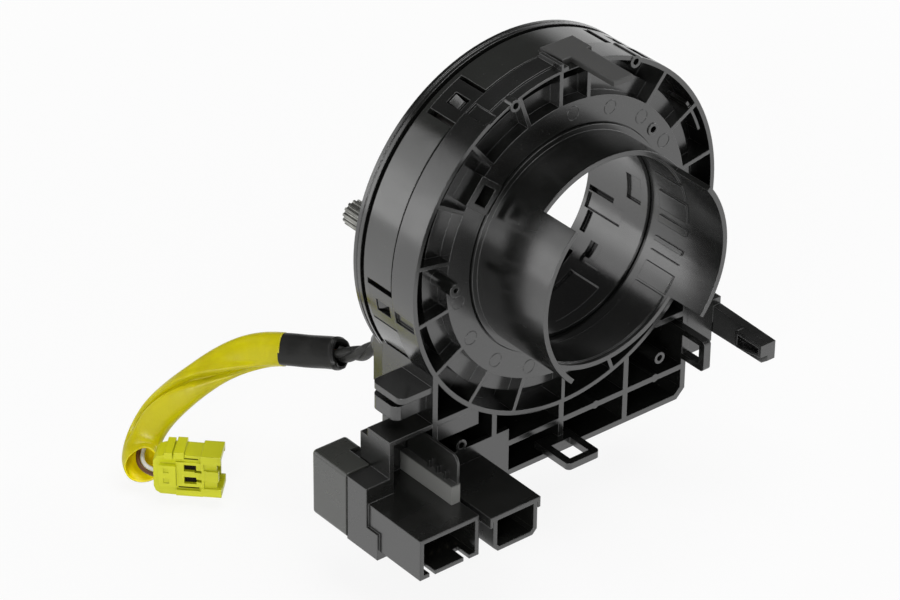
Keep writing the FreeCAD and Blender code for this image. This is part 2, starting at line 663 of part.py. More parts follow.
def rotor_sleeve():
    """The inner sleeve that traps the rotor, with its windows and recesses."""
    body = new_body("rotor_sleeve")
    profile = (
        ("bore_radius", "0"),
        ("sleeve_outer", "0"),
        ("sleeve_outer", "sleeve_seat + run_gap"),
        ("sleeve_outer + sleeve_flange", "sleeve_seat + run_gap"),
        ("sleeve_outer + sleeve_flange", "sleeve_seat + run_gap + sleeve_lip"),
        ("bore_radius", "sleeve_seat + run_gap + sleeve_lip"),
    )
    turned(body, "sleeve", profile)
    through = ("bore_radius - 1", "sleeve_outer + 1")
    shallow = ("bore_radius - 1", "bore_radius + sleeve_wall / 2")
    windows = (
        ("slot_right", through, "3.2", "5.4", "-29", "12"),
        ("slot_left", through, "3.6", "5.4", "-51.5", "10"),
        ("square_window", through, "9.2", "14", "-41", "9"),
        ("corner_groove", shallow, "9", "11.5", "-46.5", "4"),
        ("corner_slit", shallow, "9", "17", "-48.9", "0.8"),
        ("upright_slot", through, "1.4", "12", "-11", "3"),
        ("lower_recess", shallow, "17", "23", "3.5", "16"),
        ("left_recess", shallow, "9", "21.5", "-72", "32"),
        ("upper_recess", shallow, "1.4", "16.5", "-18", "9"),
    )
    for name, (inner, outer), start, end, middle, span in windows:
        turned(body, name, rectangle(inner, outer, start, end), middle, span, cut=True)
    return body


def locating_lug():
    """The matt L-shaped lug on top of the ring."""
    body = new_body("locating_lug")
    plan = (
        ("-1.2", "parting_depth - 1.8"),
        ("10.5", "parting_depth - 1.8"),
        ("10.5", "parting_depth + 6.4"),
        ("8.9", "parting_depth + 6.4"),
        ("8.9", "face_depth + 15"),
        ("2", "face_depth + 15"),
        ("2", "parting_depth + 7.7"),
        ("-1.2", "parting_depth + 7.7"),
    )
    lying(body, "lug", plan, "lug_seat_rise", "lug_seat_rise + lug_thick")
    top = size("lug_seat_rise + lug_thick")
    rounded(body, "lug_round", "0.4", lambda edge: abs(edge.BoundBox.ZMin - top) < 0.01)
    return body


def drive_pin():
    """The fluted pin that the steering wheel drives, built round its own axis and then placed."""
    body = new_body("drive_pin")
    facing_round(body, "shank", [("0", "0", "pin_radius")], "-pin_reach", "0")
    flute = facing_round(body, "flute", [("pin_radius", "0", "flute_radius")], "-pin_reach", "-1.2", cut=True)
    around(body, "flutes", flute, "360", "pin_flutes")
    body.setExpression("Placement.Base.x", bound("-pin_left"))
    body.setExpression("Placement.Base.z", bound("pin_rise"))
    return body


def connector_block():
    """The block beside the bracket: body, foot, large socket and tower."""
    body = new_body("connector_block")
    left = "-bracket_left - block_width"
    wall = "-bracket_left"
    tower_left = "-bracket_left - tower_width"
    outline = (
        (left, "-block_bottom"),
        (wall, "-block_bottom"),
        (wall, "-socket_top"),
        (f"{tower_left} + tower_wall", "-socket_top"),
        (f"{tower_left} + tower_wall", "-block_top"),
        (left, "-block_top"),
    )
    facing(body, "block", outline, "block_back", "face_depth")
    facing(body, "foot", rectangle(left, wall, "-block_bottom", "-foot_top"), "face_depth - 1",
           "face_depth + block_foot")
    back = rectangle(f"{left} + cover_reach", wall, "-block_bottom + 0.8", "-block_top - 0.4")
    facing(body, "inner_step", back, "cover_back + 7.4", "tower_back + tower_wall")
    socket_left = f"{left} + socket_inset"
    socket_right = f"{left} + socket_inset + socket_width"
    low = "-socket_top - socket_height"
    facing(body, "socket", rectangle(socket_left, socket_right, low, "-socket_top"), "face_depth - 1",
           "face_depth + socket_reach")
    facing(body, "socket_cavity",
           rectangle(f"{socket_left} + socket_wall", f"{socket_right} - socket_wall", f"{low} + socket_wall",
                     "-socket_top - socket_wall"),
           "face_depth + socket_blind", "face_depth + socket_reach", cut=True)
    for name, share in (("key_left", "0.16"), ("key_right", "0.74")):
        key = rectangle(f"{socket_left} + socket_width * {share}", f"{socket_left} + socket_width * {share} + 2",
                        f"{low} - 0.5", f"{low} + socket_wall + 0.1")
        facing(body, name, key, "face_depth + socket_reach - 5", "face_depth + socket_reach", cut=True)
    facing(body, "tower_side", rectangle(tower_left, f"{tower_left} + tower_wall", "-block_top - 1", "-tower_top"),
           "tower_back", "face_depth")
    facing(body, "tower_roof", rectangle(tower_left, wall, "-tower_top - tower_wall", "-tower_top"),
           "tower_back", "face_depth")
    facing(body, "tower_rear", rectangle(tower_left, wall, "-socket_top - 1", "-tower_top"),
           "tower_back", "tower_back + tower_wall")
    facing(body, "tower_tail", rectangle(tower_left, f"{tower_left} + 5", "-block_top - 1", "-tower_top - 2.8"),
           "tower_back - 3.2", "tower_back + 0.5")
    return body


def connector_cover():
    """The rounded cover behind the connector block, open to the column."""
    body = new_body("connector_cover")
    left = "-bracket_left - block_width - 0.3"
    right = "-bracket_left - 11.5"
    low = "-block_bottom + 0.2"
    high = "-block_top + 0.5"
    rim = "block_back - cover_seam"
    facing(body, "shell", rectangle(left, right, low, high), "cover_back", rim)
    facing(body, "shell_step", rectangle(f"{left} + cover_reach", f"{right} + 1", f"{low} - 1", f"{high} + 1"),
           "cover_back + 7", f"{rim} + 1", cut=True)
    rounded(body, "shell_round", "cover_round",
            lambda edge: abs(edge.BoundBox.YMax + size("cover_back")) < 0.01
            or along(edge, Vector(0, 1, 0)) and edge.BoundBox.XMax < size(left) + 0.01)
    facing(body, "shell_hollow",
           rectangle(f"{left} + cover_wall", f"{left} + cover_reach - cover_wall", f"{low} + cover_wall",
                     f"{high} - cover_wall"), "cover_back + cover_wall", rim, cut=True)
    return body


def small_socket():
    """The small socket in front of the bracket's blank plate, under its overhanging lid."""
    body = new_body("small_socket")
    right = "-small_right"
    left = "-small_right - small_width"
    low = "-socket_top - 0.5 - small_height"
    high = "-socket_top - 0.5"
    front = "face_depth + small_reach"
    facing(body, "lid", rectangle(f"{left} - small_lid", f"{right} + small_lid", f"{high} - 1.5", high),
           "face_depth", front)
    shell = (
        (left, f"{high} - 1"),
        (left, f"{low} + 1.6"),
        (f"{left} + 1.6", low),
        (f"{right} - 1.6", low),
        (right, f"{low} + 1.6"),
        (right, f"{high} - 1"),
    )
    facing(body, "shell", shell, "face_depth", front)
    hollow = (
        (f"{left} + socket_wall", f"{high} - 1.5"),
        (f"{left} + socket_wall", f"{low} + 2.2"),
        (f"{left} + 2.2", f"{low} + socket_wall"),
        (f"{right} - 2.2", f"{low} + socket_wall"),
        (f"{right} - socket_wall", f"{low} + 2.2"),
        (f"{right} - socket_wall", f"{high} - 1.5"),
    )
    facing(body, "cavity", hollow, "face_depth + socket_blind", front, cut=True)
    for name, edge in (("lip_left", f"{left} - small_lid"), ("lip_right", f"{right} + small_lid - 0.9")):
        facing(body, name, rectangle(edge, f"{edge} + 0.9", f"{high} - 3.4", f"{high} - 0.5"),
               "face_depth + 2", front)
    return body


def lock_lever():
    """The lever that lies on the large socket, with the thin wall on its right."""
    body = new_body("lock_lever")
    right = "-bracket_left - block_width + socket_inset + socket_width"
    left = f"{right} - lever_thick"
    base = "-socket_top"
    back = "tower_back + tower_wall"
    front = "face_depth + lever_reach"
    sideways(body, "bar", rectangle(back, front, base, f"{base} + lever_height"), left, right)
    sideways(body, "wall", rectangle(back + " + 0.5", front + " - 0.4", f"{base} + lever_height - 0.5",
                                     "-lever_wall_top"), f"{right} - lever_wall", right)
    rounded(body, "wall_round", "lever_wall_round",
            lambda edge: along(edge, Vector(1, 0, 0)) and abs(edge.BoundBox.ZMax + size("lever_wall_top")) < 0.01
            and edge.BoundBox.YMax < -size("face_depth"))
    for number in range(3):
        start = f"face_depth + 2.5 + {number * 3.6}"
        rib = rectangle(start, f"{start} + 1", f"{base} + lever_height - 0.5", f"{base} + lever_height + 2.4")
        sideways(body, f"lever_rib_{number + 1}", rib, f"{left} + 1", f"{right} - lever_wall / 2")
    return body


def box_object(name, left, right, low, high, wheel_end, column_end):
    """A box between two places on each axis."""
    box = DOC.addObject("Part::Box", name)
    box.setExpression("Length", bound(f"({right}) - ({left})"))
    box.setExpression("Width", bound(f"({column_end}) - ({wheel_end})"))
    box.setExpression("Height", bound(f"({high}) - ({low})"))
    box.setExpression("Placement.Base.x", bound(left))
    box.setExpression("Placement.Base.y", bound(f"-({column_end})"))
    box.setExpression("Placement.Base.z", bound(low))
    return box


def square_pins(label, left, pitch, columns, low, row_pitch, rows):
    """Square terminal pins that stand on the blind end of a socket, as one group."""
    pins = []
    for column in range(columns):
        for row in range(rows):
            start = f"{left} + {column} * {pitch}"
            base = f"{low} + {row} * {row_pitch}"
            pins.append(box_object(f"{label}_{column + 1}_{row + 1}", start, f"{start} + pin_side", base,
                                   f"{base} + pin_side", "face_depth + socket_blind",
                                   "face_depth + socket_blind + pin_length"))
    group = DOC.addObject("Part::Compound", label)
    group.Label = label
    group.Links = pins
    return group


def lead_blocks():
    """The blocks that hold the two ends of the spiral cable."""
    inner = new_body("inner_lead_block")
    reach = ("hub_outer + 0.05", "hub_outer + lead_block_thick")
    turned(inner, "inner_block", rectangle(*reach, "disc_thick + disc_gap + case_wall + run_gap", "parting_depth"),
           "226", "26")
    outer = new_body("outer_lead_block")
    floor = "case_back + bracket_wall"
    facing(outer, "carrier", rectangle("-44", "-22", "-70", "-62.5"), floor, f"{floor} + 16")
    facing(outer, "carrier_groove", rectangle("-40", "-26", "-67", "-65"), f"{floor} + 4", f"{floor} + 16", cut=True)
    return inner, outer


def flat_cable():
    """The wound cable: half turns about two centres, so that it grows by one pitch a turn."""
    thick = size("cable_thick")
    growth = size("cable_pitch") / 2
    radius = size("hub_outer + lead_block_thick + cable_clear + cable_thick / 2")
    limit = size("case_radius - case_wall - cable_clear - cable_thick / 2")
    halves = []
    while radius + growth < limit:
        odd = len(halves) % 2
        centre = Vector(growth * odd, 0, 0)
        outside = Part.makeCylinder(radius + thick / 2, size("cable_width"), centre, Vector(0, 0, 1), 180)
        inside = Part.makeCylinder(radius - thick / 2, size("cable_width"), centre, Vector(0, 0, 1), 180)
        half = outside.cut(inside)
        half.rotate(centre, Vector(0, 0, 1), 180 * odd)
        halves.append(half)
        radius += growth
    cable = DOC.addObject("Part::Feature", "flat_cable")
    cable.Label = "flat_cable"
    cable.Shape = halves[0].multiFuse(halves[1:]).removeSplitter()
    middle = size("(case_back + case_wall + parting_depth) / 2")
    upright = FreeCAD.Rotation(Vector(1, 0, 0), -90)
    winding = FreeCAD.Rotation(Vector(0, 1, 0), -size("cable_start"))
    cable.Placement = FreeCAD.Placement(Vector(0, -middle - size("cable_width") / 2, 0), winding * upright)
    return cable


def rounded_corners(points):
    """Splits a route at the middle of each run: every corner keeps its tangent arc and half of both runs."""
    places = [Vector(*point) for point in points]
    middles = [(a + b) / 2 for a, b in zip(places, places[1:])]
    joints = [places[0], *middles[1:-1], places[-1]]
    corners = []
    for before, corner, after, start, end in zip(places, places[1:], places[2:], joints, joints[1:]):
        inward = (before - corner).normalize()
        outward = (after - corner).normalize()
        turn = math.pi - inward.getAngle(outward)
        cut = ARC_SHARE * min((corner - before).Length, (after - corner).Length)
        radius = cut / math.tan(turn / 2)
        bisector = (inward + outward).normalize()
        middle = corner + bisector * (radius / math.cos(turn / 2) - radius)
        arc_start = corner + inward * cut
        arc_end = corner + outward * cut
        edges = (
            Part.LineSegment(start, arc_start).toShape(),
            Part.Arc(arc_start, middle, arc_end).toShape(),
            Part.LineSegment(arc_end, end).toShape(),
        )
        corners.append((edges, round(radius, 1)))
    return corners


def tube(label, corners, diameter, bore=0):
    """A round tube past some corners of the route, with an optional bore."""
    path = Part.Wire([edge for edges, _ in corners for edge in edges])
    first = path.Edges[0]
    start = first.valueAt(first.FirstParameter)
    direction = first.tangentAt(first.FirstParameter)
    solids = []
    for width in (diameter, bore):
        if width:
            circle = Part.Wire([Part.Circle(start, direction, width / 2).toShape()])
            solids.append(path.makePipeShell([circle], True, False))
    piece = DOC.addObject("Part::Feature", label)
    piece.Label = label
    piece.Shape = solids[0].cut(solids[1]) if bore else solids[0]
    section = math.pi * (diameter ** 2 - bore ** 2) / 4
    share = piece.Shape.Volume / section / path.Length
    radii = [radius for _, radius in corners]
    print(f"{label}: length {path.Length:.1f}, radii {radii}, volume over section times length {share:.4f}")


def airbag_lead():
    """The taped bundle, the pair of wires and their two sleeves."""
    corners = rounded_corners(LEAD_ROUTE)
    wires = size("wire_diameter")
    bore = wires + 2 * size("sleeve_slack")
    tube("lead_bundle", corners[:1], size("bundle_diameter"))
    tube("lead_wires", corners[1:], wires)
    tube("black_sleeve", corners[1:2], size("black_diameter"), bore)
    tube("yellow_sleeve", corners[2:5], size("yellow_diameter"), bore)


def lead_gland():
    """The exit housing on the wheel side of the disc, with a nozzle square to the lead."""
    base = box_object("gland_base", "-44", "-30", "-46", "-31", "-5", "0")
    nozzle = DOC.addObject("Part::Cylinder", "gland_nozzle")
    nozzle.setExpression("Radius", bound("bundle_diameter / 2 + 1.6"))
    start = Vector(*LEAD_ROUTE[0])
    direction = (Vector(*LEAD_ROUTE[1]) - start).normalize()
    reach = 7
    nozzle.Height = reach
    nozzle.Placement = FreeCAD.Placement(start - direction * reach, FreeCAD.Rotation(Vector(0, 0, 1), direction))
    below = box_object("gland_trim", "-60", "-20", "-60", "-20", "0", "10")
    whole = DOC.addObject("Part::Fuse", "gland_whole")
    whole.Base = base
    whole.Tool = nozzle
    gland = DOC.addObject("Part::Cut", "lead_gland")
    gland.Label = "lead_gland"
    gland.Base = whole
    gland.Tool = below
    return gland


def plug():
    """The airbag plug at the lead's end, in its own frame: x forwards, z up."""
    body = new_body("plug_housing")
    half_y = "plug_thick / 2"
    half_z = "plug_height / 2"
    lying(body, "plug_shell", rectangle("0", "plug_length", f"-{half_y}", half_y), f"-{half_z}", half_z)
    lying(body, "plug_mouth",
          rectangle("plug_length * 0.55", "plug_length", f"-{half_y} + plug_wall", f"{half_y} - plug_wall"),
          f"-{half_z} + plug_wall", f"{half_z} - plug_wall", cut=True)
    for number, up in enumerate(("-2.2", "2.2"), start=1):
        sketch = rectangle("plug_length * 0.36", "plug_length * 0.5", f"{half_y} - 1.6", half_y)
        lying(body, f"plug_window_{number}", sketch, f"{up} - 1.3", f"{up} + 1.3", cut=True)
    lying(body, "plug_collar", rectangle("1", "plug_length * 0.3", f"{half_y} - 0.5", f"{half_y} + 1"),
          f"-{half_z} + 2.2", f"{half_z} - 2.2")
    sketch = new_sketch(body, "plug_entry_outline", "YZ_Plane", "plug_grip")
    draw_circle(sketch, "0", "-plug_lift", "wire_diameter / 2 + sleeve_slack")
    extruded(body, "plug_entry", sketch, "plug_grip + 0.1", cut=True)
    end = Vector(*LEAD_ROUTE[-1])
    heading = (end - Vector(*LEAD_ROUTE[-2])).normalize()
    corner = end - heading * size("plug_grip") + Vector(0, 0, size("plug_lift"))
    place = FreeCAD.Placement(corner, FreeCAD.Rotation(Vector(1, 0, 0), heading))
    body.Placement = place
    terminals = DOC.addObject("Part::Compound", "plug_terminals")
    terminals.Label = "plug_terminals"
    links = []
    for number, up in enumerate(("-2.2", "2.2"), start=1):
        links.append(box_object(f"plug_terminal_{number}", "plug_length * 0.55", "plug_length * 0.85",
                                f"{up} - 1", f"{up} + 1", "-1", "1"))
    terminals.Links = links
    terminals.Placement = place
    return body, terminals


def build_all():
    fill_sheet()
    column_housing()
    outer_case()
    collar()
    rotor_disc()
    rotor_sleeve()
    locating_lug()
    drive_pin()
    connector_block()
    connector_cover()
    small_socket()
    lock_lever()
    socket_left = "-bracket_left - block_width + socket_inset"
    square_pins("large_pins", f"{socket_left} + 3", "2.9", 6, "-socket_top - socket_height + 3.6", "4.6", 2)
    square_pins("small_pins", "-small_right - small_width + 2.6", "2.5", 5, "-socket_top - small_height + 2.6",
                "4.2", 2)
    lead_blocks()
    flat_cable()
    lead_gland()
    airbag_lead()
    plug()
    DOC.recompute()


NODES = (
    "column_housing", "outer_case", "collar", "rotor_disc", "rotor_sleeve", "locating_lug", "drive_pin",
    "connector_block", "connector_cover", "small_socket", "lock_lever", "large_pins", "small_pins",
    "inner_lead_block", "outer_lead_block", "flat_cable", "lead_gland", "lead_bundle", "lead_wires",
    "black_sleeve", "yellow_sleeve", "plug_housing", "plug_terminals",
)


def check_all():
    """Stops on a failed object, an empty cut or a bad shape."""
    for item in DOC.Objects:
        if "Invalid" in item.State or "Error" in item.State:
            raise RuntimeError(f"{item.Name} failed: {item.State}")
        if item.TypeId in ("PartDesign::Pocket", "PartDesign::Groove") and item.BaseFeature:
            if item.Shape.Volume > item.BaseFeature.Shape.Volume - 1e-3:
                raise RuntimeError(f"{item.Name} cuts nothing")
    for label in NODES:
        shape = DOC.getObjectsByLabel(label)[0].Shape
        if shape.isNull() or not shape.isValid():
            raise RuntimeError(f"{label} has no valid shape")


def write_all():
    os.makedirs("parts", exist_ok=True)
    for label in NODES:
        item = DOC.getObjectsByLabel(label)[0]
        item.Shape.exportStep(f"parts/{label}.step")
        print(f"{label}: {len(item.Shape.Solids)} solid(s), {item.Shape.Volume:.0f} mm3")


build_all()
check_all()
write_all()
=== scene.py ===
import itertools
import math

import bmesh
import bpy
from mathutils import Matrix, Vector


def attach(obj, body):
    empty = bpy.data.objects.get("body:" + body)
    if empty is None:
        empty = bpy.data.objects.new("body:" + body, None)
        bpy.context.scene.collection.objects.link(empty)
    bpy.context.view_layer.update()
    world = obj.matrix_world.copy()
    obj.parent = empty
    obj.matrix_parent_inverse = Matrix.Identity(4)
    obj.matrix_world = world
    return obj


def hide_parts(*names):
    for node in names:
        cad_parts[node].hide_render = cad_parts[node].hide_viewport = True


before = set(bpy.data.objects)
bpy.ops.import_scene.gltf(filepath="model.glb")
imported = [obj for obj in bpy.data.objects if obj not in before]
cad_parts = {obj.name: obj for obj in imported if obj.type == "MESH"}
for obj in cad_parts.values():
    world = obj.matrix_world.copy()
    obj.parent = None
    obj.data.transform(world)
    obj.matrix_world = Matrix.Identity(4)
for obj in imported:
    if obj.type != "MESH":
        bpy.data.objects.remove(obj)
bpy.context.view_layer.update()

bl_info = {
    "name": "Steering clock spring",
    "version": (1, 0, 0),
    "blender": (4, 5, 0),
    "location": "3D View > Sidebar > Clock spring",
    "description": "Finishes, lead and small details of a steering clock spring",
    "category": "Object",
}

# All lengths are in metres unless a comment says otherwise.
MM = 0.001

# Control points of the airbag lead, from the disc to the plug, as in part.py.
LEAD_ROUTE = (
    (-0.0375, 0.0090, -0.0385),
    (-0.0380, 0.0175, -0.0470),
    (-0.0435, 0.0310, -0.0499),
    (-0.0556, 0.0510, -0.0537),
    (-0.0762, 0.0620, -0.0696),
    (-0.0811, 0.0690, -0.0847),
    (-0.0892, 0.0596, -0.0886),
    (-0.0828, 0.0532, -0.0886),
)
# The bundle, the black sleeve and the yellow sleeve each end half-way after these control points.
LEAD_ENDS = (1, 2, 5)
# Points of the lead's line between control points, then evenly spaced along all of it, and those
# of the yellow sleeve along its own part.
LINE_RESOLUTION = 48
LINE_POINTS = 420
YELLOW_POINTS = 160
# Steps of the line by which the bundle reaches into the black sleeve, the yellow sleeve starts
# inside the black one, and the yellow sleeve runs past its end in the CAD.
BUNDLE_TUCK = 6
YELLOW_TUCK = 2
YELLOW_TAIL = 12
# Radius of a strand of the bundle and of its core, as shares of the bundle's diameter, and the
# length of line in which a strand goes round once.
STRAND_SHARE = 0.29
CORE_SHARE = 0.32
STRAND_PITCH = 0.021
# Distance of each wire from the line, in wire diameters: they lie side by side.
WIRE_OFFSET = 0.53
BLACK_WALL = 0.9 * MM
YELLOW_WALL = 0.5 * MM
# The side that the flattened sleeves look to: the camera's.
FLAT_SIDE = Vector((-0.5363, -0.6581, 0.5285))

# How far the airbag plug sits over the end of the lead, and how far above the wires.
PLUG_GRIP = 4.0 * MM
PLUG_LIFT = 3.2 * MM
# Its outline, depths and boxes in its own frame, in millimetres: X points to its mouth and -Y
# to the latch windows.
PLUG_OUTLINE = (
    (0.0, 3.8), (0.0, -5.2), (0.6, -6.9), (2.0, -7.8), (6.4, -7.9), (14.0, -7.0), (18.4, -6.1),
    (18.4, 6.0), (4.6, 6.2), (1.2, 5.2),
)
PLUG_DEPTHS = (-3.2, 4.3)
# The mouth's frame, the rear clip and the latch plate.
PLUG_ADDED = (
    ((14.2, -4.3, -6.6), (19.0, 4.4, 6.6)),
    ((1.9, -5.0, -3.9), (7.0, -2.6, 3.2)),
    ((6.8, -4.1, -4.2), (14.6, -2.6, 4.2)),
)
# Mouth rails, the key between them, the two ribs on top and the one below.
PLUG_LIPS = (
    ((14.4, -4.7, 4.3), (20.3, 4.2, 7.0)),
    ((14.4, -4.7, -7.0), (20.3, 4.2, -4.3)),
    ((15.8, -4.8, -1.6), (19.6, -3.4, 1.9)),
    ((3.6, -4.3, 5.2), (5.9, 4.3, 7.3)),
    ((6.5, -4.3, 5.4), (9.4, 4.3, 7.6)),
    ((6.8, -4.3, -7.4), (14.8, 1.0, -5.5)),
)
# The mouth and its two notches, the latch windows with their tails, the slits and the squares.
PLUG_CUTS = (
    ((15.8, -3.1, -5.3), (21.0, 3.2, 5.3)),
    ((15.2, -6.0, 1.9), (21.0, -3.75, 4.3)),
    ((15.2, -6.0, -4.3), (21.0, -3.75, -1.6)),
    ((9.3, -6.0, 1.1), (12.9, -1.6, 3.4)),
    ((12.4, -6.0, 0.8), (14.5, -2.6, 1.7)),
    ((9.3, -6.0, -3.2), (12.9, -1.6, -0.8)),
    ((12.4, -6.0, -2.4), (14.5, -2.6, -1.5)),
    ((8.7, -6.0, 4.75), (13.4, -2.2, 5.2)),
    ((7.4, -6.0, -5.35), (13.6, -2.2, -4.85)),
    ((3.3, -6.0, 0.7), (4.9, -4.55, 2.3)),
    ((3.3, -6.0, -2.9), (4.9, -4.55, -1.3)),
)
# Dark boxes behind the windows and the slits: painted shade in their depths.
PLUG_SHADE_BOXES = (
    ((9.1, -2.9, 0.6), (14.7, -1.2, 3.6)),
    ((9.1, -2.9, -3.4), (14.7, -1.2, -0.6)),
    ((8.5, -2.9, 4.6), (13.6, -2.0, 5.35)),
    ((7.2, -2.9, -5.5), (13.8, -2.0, -4.7)),
)
# The hole that the wires enter by.
PLUG_BORE_PLACE = 1.2 * MM
PLUG_BORE_RADIUS = 1.9 * MM
PLUG_BORE_DEPTH = 6.0 * MM
PLUG_BEVEL = 0.45 * MM

# Ejector marks on the annular face: first angle and step in degrees, and how many.
MARK_ROWS = ((29, 20, 4), (189, 20.6, 4))

# Camera at the photographed angle. OFFSET is how far the origin lies to the right of the camera,
# above it and ahead of it; the lens is in millimetres.
AZIMUTH = math.radians(-39.183)
ELEVATION = math.radians(31.907)
ROLL = math.radians(0.658)
OFFSET = (16.029 * MM, 28.615 * MM, 1140.53 * MM)
FOCAL = 160.24
SENSOR = 36.0

# Lamps: name, place, width and height, and power in watts.
LAMPS = (
    ("overhead", (0.05, -0.10, 0.90), (0.80, 0.80), 6.0),
    ("front_left", (-0.75, -0.55, 0.25), (0.35, 0.5), 4.0),
    ("right", (0.85, -0.35, 0.30), (0.25, 0.5), 2.0),
    ("back_left", (-0.74, 0.72, 0.30), (0.34, 0.85), 1.05),
)
# Where all of them point.
LAMP_AIM = Vector((0, 0, -0.01))
# The surroundings dim between these heights (1 is straight up) to OVERHEAD of the horizon's level.
WORLD_FADE = (0.16, 0.46)
OVERHEAD = 0.06
# Half the floor's side. To the camera the floor mixes FLOOR_NEAR_WHITE plain white within the
# first of the distances from the origin, and is all white past the second, so that only the
# part's shadow stays.
FLOOR_HALF = 3.0
FLOOR_FADE = (0.15, 0.60)
FLOOR_NEAR_WHITE = 0.88

# Height of the lock lever's bar, and half the height over which a foot's tone changes.
# Above this height the lever keeps the connector's black, as painted shade on its wall and
# pockets.
LEVER_TOP = -0.0545
FOOT_BLEND = 0.0003
# Tone of the lever's bar, and of the dust on moulded plastic.
# The bar's paler tone is partly its own greyer plastic and partly painted light.
LEVER_TONE_AND_LIGHT = (0.185, 0.186, 0.178)
DUST = (0.16, 0.16, 0.15)
# How much paler the case band and the connector's cover are than the pieces beside them, and how
# much rounder a connector's edges are.
CASE_PALER = 3.2
COVER_PALER = 6.5
CONNECTOR_ROUNDER = 1.8

FINISH_PREFIX = "finish_"
# The finish of each CAD node that no piece replaces.
SLOT_OF = {
    "column_housing": "housing_black",
    "outer_case": "case_black",
    "collar": "collar_black",
    "rotor_disc": "rotor_black",
    "rotor_sleeve": "rotor_black",
    "locating_lug": "lug_matt",
    "drive_pin": "pin_metal",
    "connector_block": "block_black",
    "connector_cover": "cover_black",
    "small_socket": "block_black",
    "lock_lever": "lever_lit_bar_shaded_wall",
    "large_pins": "terminal_metal",
    "small_pins": "terminal_metal",
    "plug_terminals": "terminal_metal",
    "outer_lead_block": "block_black",
    "inner_lead_block": "rotor_black",
    "lead_gland": "rotor_black",
    "flat_cable": "cable_film",
}


# Properties


class ClockSpringFinish(bpy.types.PropertyGroup):
    plastic_colour: bpy.props.FloatVectorProperty(
        name="Housing colour", description="Colour of the moulded housings", subtype="COLOR",
        size=3, min=0, max=1, default=(0.0040, 0.0042, 0.0038))
    block_colour: bpy.props.FloatVectorProperty(
        name="Connector colour", description="Colour of the connector housings", subtype="COLOR",
        size=3, min=0, max=1, default=(0.0048, 0.0050, 0.0044))
    yellow_colour: bpy.props.FloatVectorProperty(
        name="Yellow colour", description="Colour of the yellow sleeve", subtype="COLOR",
        size=3, min=0, max=1, default=(0.62, 0.56, 0.002))
    plug_colour: bpy.props.FloatVectorProperty(
        name="Plug colour", description="Colour of the airbag plug", subtype="COLOR",
        size=3, min=0, max=1, default=(0.50, 0.51, 0.006))
    edge_radius: bpy.props.FloatProperty(
        name="Edge radius", description="Visible rounding of moulded edges", subtype="DISTANCE",
        min=0, max=0.002, default=0.00028)


class ClockSpringLead(bpy.types.PropertyGroup):
    wire_diameter: bpy.props.FloatProperty(
        name="Wire", description="Diameter of one wire of the lead", subtype="DISTANCE",
        min=0.0008, max=0.002, default=0.0013)
    bundle_diameter: bpy.props.FloatProperty(
        name="Bundle", description="Diameter of the taped bundle", subtype="DISTANCE",
        min=0.003, max=0.007, default=0.0048)


class ClockSpringStage(bpy.types.PropertyGroup):
    floor_height: bpy.props.FloatProperty(
        name="Floor height", description="Height of the floor in the part's frame",
        subtype="DISTANCE", min=-0.2, max=0, default=-0.0965)
    world_level: bpy.props.FloatProperty(
        name="World level", description="Brightness of the surroundings at the horizon",
        min=0, max=2, default=0.9)


# Materials


